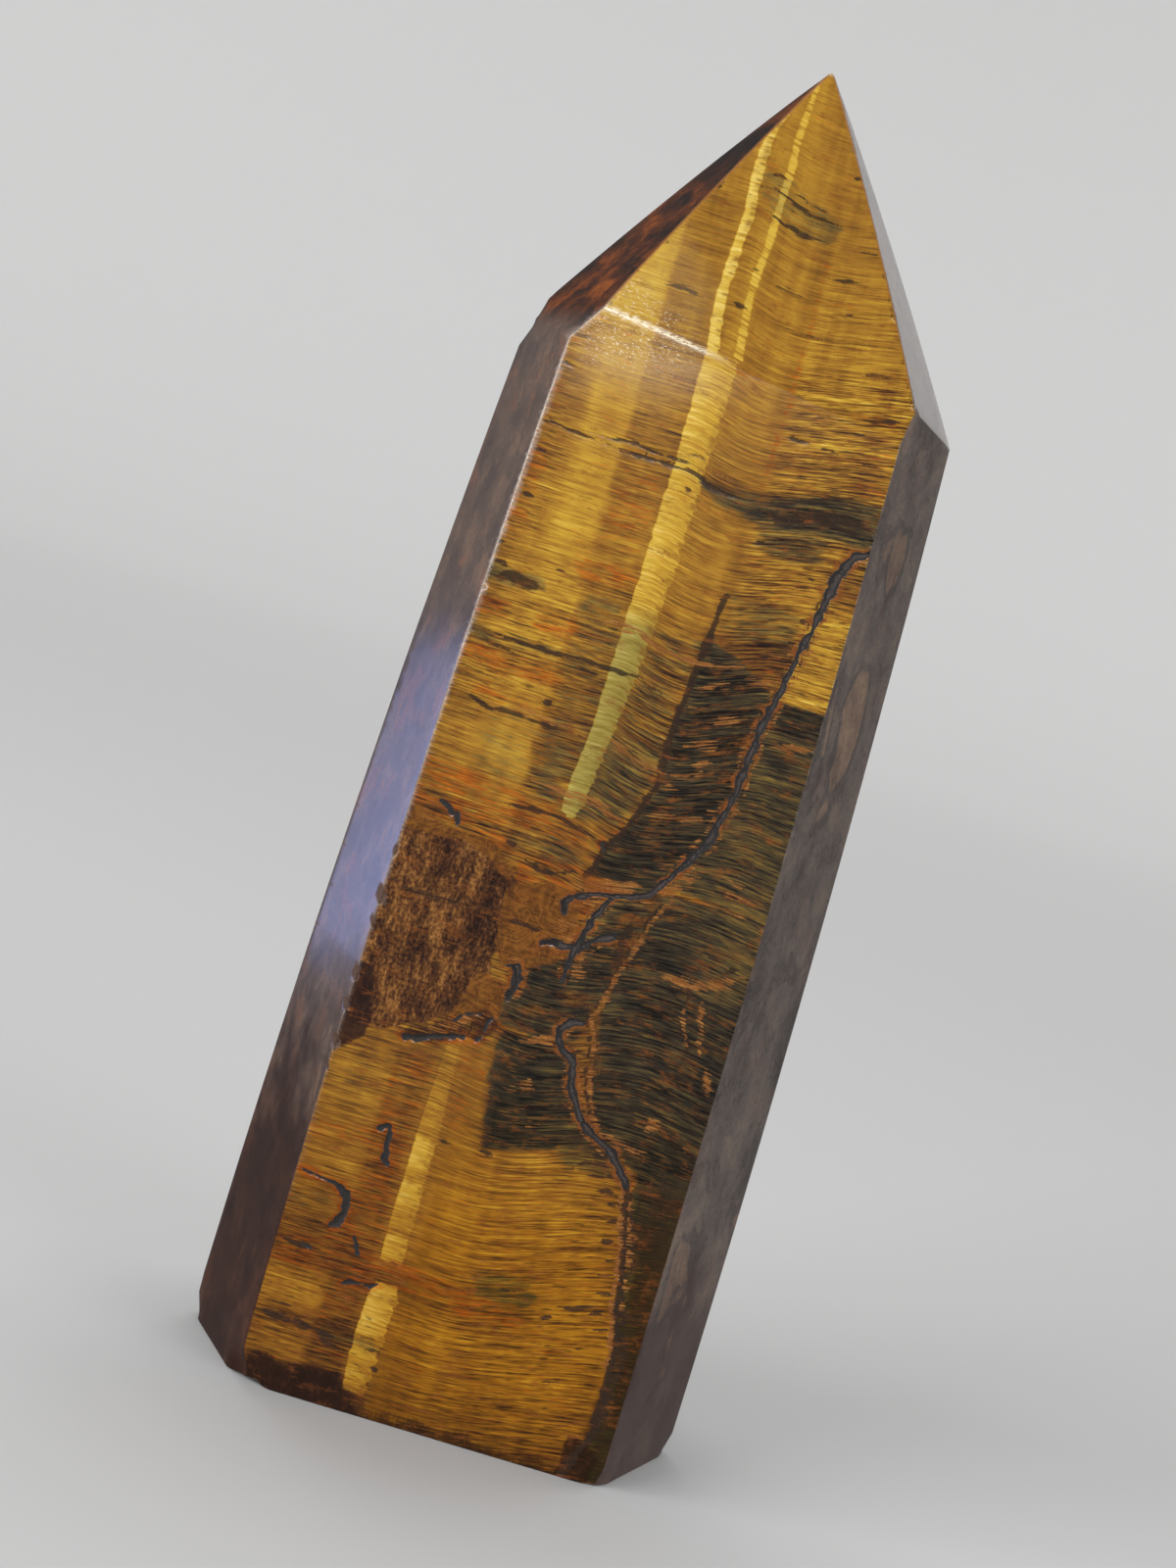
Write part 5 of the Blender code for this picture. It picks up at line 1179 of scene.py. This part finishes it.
# Tan and rusty threads caught in the dark layers.
thread = noise(vector(along * .4 + 71.0, layer_at * 5.2 + 17.0), 2, .7)
fleck = step(.30, .62, thread + patch * .5) * step(.3, .7, olive)
body = mix(fleck * .42, body, ramp(limit(.5 + flake * .6), [(0.0, (86, 62, 32)), (.5, (124, 90, 42)), (1.0, (164, 112, 48))]))
# A few warm threads in the gold.
warmed = step(-.26, -.52, thread) * step(.5, .2, olive) * step(.12, .4, rust) * step(80.0, 72.0, pz)
body = mix(warmed * .5, body, (178, 94, 30))

# Short dark dashes.
dashes = noise(vector(along * .52 + 51.0, layer_at * 5.2), 2, .6)
dashed = step(.34, .60, dashes + silk * .14 + patch * .12 + (dash - .6) * .36) * step(.05, .4, dash)
body = mix(dashed * .72, body, (52, 36, 24))

# Ironstone: dense, dark and speckled, drawn out up and down.
cross_warp = teeth * .12
speck = noise(vector(px * 2.4 + cross_warp, pz * .8), 3, .7, .5)
clot = noise(vector(px * .8 + 11.0, pz * .3), 2, .6)
stipple = noise(vector(px * 5.0, pz * 3.4 + 3.0), 2, .65)
cross = noise(vector(px * .6 + 5.0, layer_at * 5.0), 2, .6)
ore_level = limit(.47 + speck * .24 + clot * .22 + stipple * .24 + cross * .08 + step(-5.0, -12.0, px) * .03 - step(-8.4, -4.6, px + clot * .5) * .10)
ore = ramp(ore_level, [(0.0, (26, 16, 14)), (.25, (46, 28, 21)), (.42, (74, 46, 28)), (.56, (106, 68, 36)), (.72, (144, 98, 50)), (1.0, (182, 132, 74))])
is_ore = step(.30, .70, iron + speck * .14 + clot * .12 + stipple * .14)
body = mix(is_ore, body, ore)

# Folded, caramel-coloured stone round the veins.
fold = noise(vector(px * .5 + 2.0, pz * .6 + 5.0), 1, .5, 1.2, spread=1.0)
rings = maths("SINE", fold * 26.0 + px * .6 + grit * .5)
toffee = ramp(limit(.47 + rings * .10 + fine * .12 + clot * .14 + grit * .16 + speck * .08), [(0.0, (48, 29, 20)), (.3, (80, 48, 24)), (.5, (110, 69, 28)), (.72, (140, 89, 34)), (1.0, (172, 116, 48))])
body = mix(step(.38, .62, swirl + patch * .2 + flake * .15) * .9, body, toffee)

plum = ramp(limit(.42 + speck * .34 + clot * .2 + grit * .15), [(0.0, (28, 18, 17)), (.5, (48, 30, 25)), (1.0, (84, 54, 38))])
body = mix(step(.3, .7, maroon + speck * .16 + patch * .14 + grit * .12) * .94, body, plum)

# Light falls warmer towards the foot.
warm = step(30.0, 12.0, pz)
for low, high, glass in ((-4.5, -3.0, (.97, .82, .36, 1.0)), (-3.0, -4.5, (.84, .74, .60, 1.0))):
    tint = tree.nodes.new("ShaderNodeMix")
    tint.data_type = "RGBA"
    tint.blend_type = "MULTIPLY"
    link(warm * step(low, high, px), tint.inputs[0])
    link(body, tint.inputs[6])
    link(glass, tint.inputs[7])
    body = Value(tint.outputs[2])

# Lines of dark and rusty threads, frayed at their edges.
strand = noise(vector(along * .40 + 91.0, layer_at * 7.6 + 4.0), 2, .6)
is_dark = step(.32, .58, dark + (fine * .26 + strand * .34 + grit * .12) * step(.02, .3, dark))
body = mix(is_dark * .88, body, ramp(limit(.5 + grit * .4), [(0.0, (30, 23, 20)), (1.0, (64, 48, 36))]))
is_orange = step(.46, .60, orange * .76 + (flake * .14 + strand * .84 + grit * .06) * step(.02, .3, orange))
body = mix(is_orange * .92, body, ramp(limit(.5 + flake * .34 + strand * .2 + grit * .2), [(0.0, (86, 50, 26)), (.5, (132, 82, 40)), (1.0, (184, 128, 64))]))

# Veins: a grey core in a black line, rust along the walls.
gnarl = noise(vector(px * 1.5 + 7.0, pz * 1.5), 2, .6)
wall = vein + grit * .30 + flake * .22 + gnarl * .55
rim = step(1.5, 1.9, wall) * step(4.2, 2.8, wall + flake * 1.2)
body = mix(rim * step(-.3, .25, patch + flake * .6 + grit * .3) * .85, body, ramp(limit(.5 + grit * .4), [(0.0, (78, 42, 22)), (1.0, (160, 92, 38))]))
inner = ramp(limit(.5 + grit * .35 + gnarl * .3), [(0.0, (32, 25, 23)), (.5, (62, 52, 48)), (1.0, (104, 90, 82))])
body = mix(step(1.8, 1.4, wall), body, mix(step(.75, .35, wall + grit * .3), (25, 17, 17), inner))
hole = step(.42, .66, pit + grit * .14)
body = mix(hole, body, ramp(limit(.42 + grit * .45), [(0.0, (22, 17, 16)), (.6, (38, 32, 31)), (1.0, (66, 59, 56))]))

# Painted sheen, a milky haze where the polish is poor; then painted glints: white flecks in the matte zone and along
# the crease.
body = mix(limit(haze_sheen * (.34 + grit * .26)), body, (186, 156, 114))
spark = noise(vector(px * 2.6 + 3.0, layer_at * 9.5), 2, .7)
body = mix(limit(step(.30, .62, spark + grit * .35) * matte_and_glints * .8 + glint * step(-.6, .2, spark) * 1.3), body, (250, 236, 206))

# The other sides cut across the fibre: mottled brown ironstone.
cloud = noise(vector(px * .13, pz * .11, py * .13), 2, .55, flat=False)
mottle = noise(vector(px * .42 + 3.0, pz * .34, py * .42), 3, .6, .4, flat=False)
crumb = noise(vector(px * 2.4, pz * 2.0, py * 2.4), 2, .65, flat=False)
ember = noise(vector(px * .3 + 31.0, pz * .24, py * .3), 2, .62, flat=False)
crust = ramp(limit(.46 + cloud * .16 + mottle * .3 + crumb * .12),
             [(0.0, (40, 30, 27)), (.25, (62, 48, 40)), (.45, (84, 66, 54)), (.6, (106, 82, 62)), (.78, (130, 96, 66)), (1.0, (150, 108, 66))])
tip_left = step(74.5, 77.0, pz) * step(-.3, .3, left_side)
crust = mix(step(.20, .42, ember + crumb * .15) * .6, crust, (128, 78, 46))
crust = mix(step(-.30, -.52, ember + crumb * .1) * .6, crust, (42, 34, 34))
right_side = step(1.0, 3.0, px)
crust = mix(right_side * .8, crust, ramp(limit(.5 + cloud * .30 + mottle * .34 + crumb * .12), [(0.0, (60, 53, 50)), (.5, (110, 100, 96)), (1.0, (152, 134, 119))]))
# Brown clots with a dark rind, here and there in it.
blot = noise(vector(px * .17 + 5.0, pz * .12 + 2.0, py * .17 + 8.0), 2, .6, .6, flat=False) + crumb * .05
for level_z, wide, tall, lift in ((66.4, 1.9, 2.4, .55), (54.6, 2.6, 4.2, .8)):
    away = maths("SQRT", maths("POWER", (py + 5.8) * (1 / wide), 2.0) + maths("POWER", (pz - level_z) * (1 / tall), 2.0))
    blot = blot + right_side * step(1.5, .3, away) * lift
crust = mix(step(.16, .30, blot) * step(.56, .42, blot) * limit(.36 + crumb * .5), crust, (58, 50, 48))
crust = mix(step(.46, .60, blot) * .62, crust, ramp(limit(.5 + mottle * .5 + crumb * .3), [(0.0, (92, 72, 60)), (.5, (138, 110, 90)), (1.0, (170, 138, 108))]))
pepper = noise(vector(px * 3.1 + 4.0, pz * 2.3 + 9.0, py * 3.1 + 2.0), 2, .75, flat=False)
crust = mix(step(.26, .60, pepper + mottle * .45) * .30, crust, (48, 38, 34))
crust = mix(step(-.30, -.62, pepper + mottle * .3) * .2, crust, (150, 122, 98))
# Painted shade: the foot of the left face darkened to a deep red-brown; the right face is darker towards its foot.
foot = step(32.0, 14.0, pz + cloud * 5.0 + mottle * 5.0)
crust = mix(foot * (1.0 - right_side) * .9, crust, ramp(limit(.48 + cloud * .24 + mottle * .3 + crumb * .1), [(0.0, (22, 10, 8)), (.5, (50, 24, 16)), (1.0, (92, 50, 30))]))
crust = mix(step(18.0, 9.0, pz + cloud * 3.0) * right_side * .6, crust, (74, 50, 46))
crust = mix(step(-1.0, -3.0, px) * (1.0 - foot) * .4, crust, ramp(limit(.48 + cloud * .24 + mottle * .24), [(0.0, (66, 58, 58)), (.5, (106, 94, 92)), (1.0, (146, 124, 114))]))
crust = mix(tip_left, crust, ramp(limit(.44 + cloud * .3 + mottle * .44 + crumb * .16), [(0.0, (14, 10, 9)), (.3, (36, 18, 9)), (.5, (82, 38, 9)), (.7, (130, 64, 14)), (1.0, (172, 100, 30))]))
is_fibred = step(-.06, .06, fibred + grit * .05)
body = mix(is_fibred, crust, body)
ridge = step(.3, .05, absolute(side + .12)) * step(76.4, 78.0, pz)
body = mix(ridge * .5, body, (178, 118, 56))
# Painted highlight: a thin pale line along the front's left arris.
body = mix(limit(arris * (.52 + grit * .6)), body, (236, 224, 212))
broken = step(.03, .12, chipped + grit * .02)
body = mix(broken * .8, body, ramp(limit(.5 + grit * .4), [(0.0, (40, 26, 20)), (1.0, (104, 68, 42))]))

gloss = tree.nodes.new("ShaderNodeBsdfPrincipled")
gloss.inputs["IOR"].default_value = 1.54
gloss.inputs["Metallic"].default_value = 0.0
link(body, gloss.inputs["Base Color"])
roughness = limit(.13 + absolute(grit) * .03 + matte_and_glints * is_fibred * (.14 + grit * .08) + broken * .5 + arris * .2 + hole * .6 * is_fibred + step(1.95, 1.5, wall) * .5 * is_fibred
                  + (1.0 - is_fibred) * (.04 + absolute(crumb) * .08))
link(roughness, gloss.inputs["Roughness"])

height = grit * (.1 + matte_and_glints * 1.0)
bump = tree.nodes.new("ShaderNodeBump")
bump.inputs["Strength"].default_value = 1.0
bump.inputs["Distance"].default_value = .004 * MM
link(height, bump.inputs["Height"])
tree.links.new(bump.outputs[0], gloss.inputs["Normal"])
out = tree.nodes.new("ShaderNodeOutputMaterial")
tree.links.new(gloss.outputs[0], out.inputs["Surface"])
mesh.materials.append(stone)

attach(tower, "root")
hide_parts("tigers_eye_tower")


# -------------------------------------------------------------------- stage
def plain(name, value, rough):
    material = bpy.data.materials.new(name)
    material.use_nodes = True
    shader = material.node_tree.nodes["Principled BSDF"]
    shader.inputs["Base Color"].default_value = value
    shader.inputs["Roughness"].default_value = rough
    shader.inputs["Specular IOR Level"].default_value = 0.2
    return material


def turned(name, profile, material, sides=96):
    """A surface of revolution from (radius, height) points, in metres."""
    bm = bmesh.new()
    rings = []
    for r, h in profile:
        if r == 0:
            rings.append([bm.verts.new((0, 0, h))])
        else:
            rings.append([bm.verts.new((r * math.cos(2 * math.pi * k / sides), r * math.sin(2 * math.pi * k / sides), h)) for k in range(sides)])
    for low, high in zip(rings, rings[1:]):
        for k in range(sides):
            j = (k + 1) % sides
            if len(low) == 1:
                bm.faces.new((low[0], high[k], high[j]))
            else:
                bm.faces.new((low[k], high[k], high[j], low[j]))
    bmesh.ops.recalc_face_normals(bm, faces=bm.faces[:])
    data = bpy.data.meshes.new(name)
    bm.to_mesh(data)
    bm.free()
    data.shade_smooth()
    data.materials.append(material)
    ob = bpy.data.objects.new(name, data)
    bpy.context.scene.collection.objects.link(ob)
    return ob


paper = plain("pale_paper", colour(213, 213, 213), .9)
far_paper = plain("pale_paper_far", colour(213, 213, 213), .9)
far_paper.cycles.emission_sampling = "NONE"
# The far sheet glows a little with its own emission, more the further it is: painted light.
nodes = far_paper.node_tree
position = nodes.nodes.new("ShaderNodeNewGeometry")
length = nodes.nodes.new("ShaderNodeVectorMath")
length.operation = "LENGTH"
nodes.links.new(position.outputs["Position"], length.inputs[0])
rise = nodes.nodes.new("ShaderNodeMapRange")
rise.interpolation_type = "SMOOTHSTEP"
for key, value in (("From Min", .3), ("From Max", 1.7), ("To Min", 0.0), ("To Max", .2)):
    rise.inputs[key].default_value = value
nodes.links.new(length.outputs["Value"], rise.inputs["Value"])
shader = nodes.nodes["Principled BSDF"]
nodes.links.new(rise.outputs["Result"], shader.inputs["Emission Strength"])
shader.inputs["Emission Color"].default_value = (1.0, .99, .98, 1)
floor = turned("floor", [(0, 0), (.12, 0), (.26, 0)], paper)
sweep = [(.26, 0), (.6, 0), (1.0, 0)] + [(1.0 + .6 * math.sin(a), .6 - .6 * math.cos(a)) for a in np.linspace(.1, math.pi / 2, 14)] + [(1.6, 1.2), (1.6, 2.2)]
backdrop = turned("backdrop", sweep, far_paper)
floor.visible_glossy = False
backdrop.visible_glossy = False

scene = bpy.context.scene
world = bpy.data.worlds.new("studio")
scene.world = world
world.use_nodes = True
world.node_tree.nodes["Background"].inputs["Color"].default_value = (.10, .10, .10, 1)
world.node_tree.nodes["Background"].inputs["Strength"].default_value = 1.0


def softbox(name, direction, distance, size, radiance, tint=(1, 1, 1), aim=(0, 0, .05)):
    data = bpy.data.lights.new(name, "AREA")
    data.shape = "RECTANGLE"
    data.size, data.size_y = size
    data.color = tint
    data.energy = radiance * math.pi * size[0] * size[1]
    ob = bpy.data.objects.new(name, data)
    where = Vector(aim) + Vector(direction).normalized() * distance
    ob.location = where
    ob.rotation_euler = (Vector(aim) - where).to_track_quat("-Z", "Y").to_euler()
    ob.visible_camera = False
    scene.collection.objects.link(ob)
    return ob


softbox("key", (-.76, -.62, .30), .8, (.62, .5), 5.35)
softbox("fill", (.72, -.64, .22), 1.0, (.6, .6), 2.5, (.98, .99, 1))
softbox("over", (.05, .5, 1), 1.4, (1.6, 1.0), 2.0)
# These three are small reflections in the polish; the paper doesn't see them.
polish = bpy.data.collections.new("polish")
polish.objects.link(tower)
softbox("crease", (-.035, -.93, .40), .8, (.05, .34), 11.0, aim=(0, -.01, .076)).light_linking.receiver_collection = polish
softbox("left_window", (-.74, .67, .01), .16, (.066, .044), 1.9, (.36, .47, 1.0), aim=(-.015, -.006, .027)).light_linking.receiver_collection = polish
softbox("right_window", (.29, .91, .29), .6, (.24, .24), .62, aim=(.009, -.004, .086)).light_linking.receiver_collection = polish

# ------------------------------------------------------------------- camera
camera_data = bpy.data.cameras.new("camera")
camera = bpy.data.objects.new("camera", camera_data)
scene.collection.objects.link(camera)
camera_data.sensor_fit = "VERTICAL"
camera_data.sensor_height = 36.0
camera_data.lens = 63.0
camera_data.clip_start = .01
camera_data.clip_end = 20.0
right = Vector((.95815, .0256, .28512))
up = Vector((-.28623, .06981, .95561))
ahead = Vector((-.00455, .99723, -.07422))
at = Vector((-.46, -195.541, 59.631)) * MM
camera.matrix_world = Matrix(((right.x, up.x, -ahead.x, at.x), (right.y, up.y, -ahead.y, at.y), (right.z, up.z, -ahead.z, at.z), (0, 0, 0, 1)))
scene.camera = camera
scene.view_settings.view_transform = "Standard"
scene.cycles.max_bounces = 3
scene.cycles.diffuse_bounces = 1
scene.cycles.glossy_bounces = 1
scene.cycles.use_light_tree = False
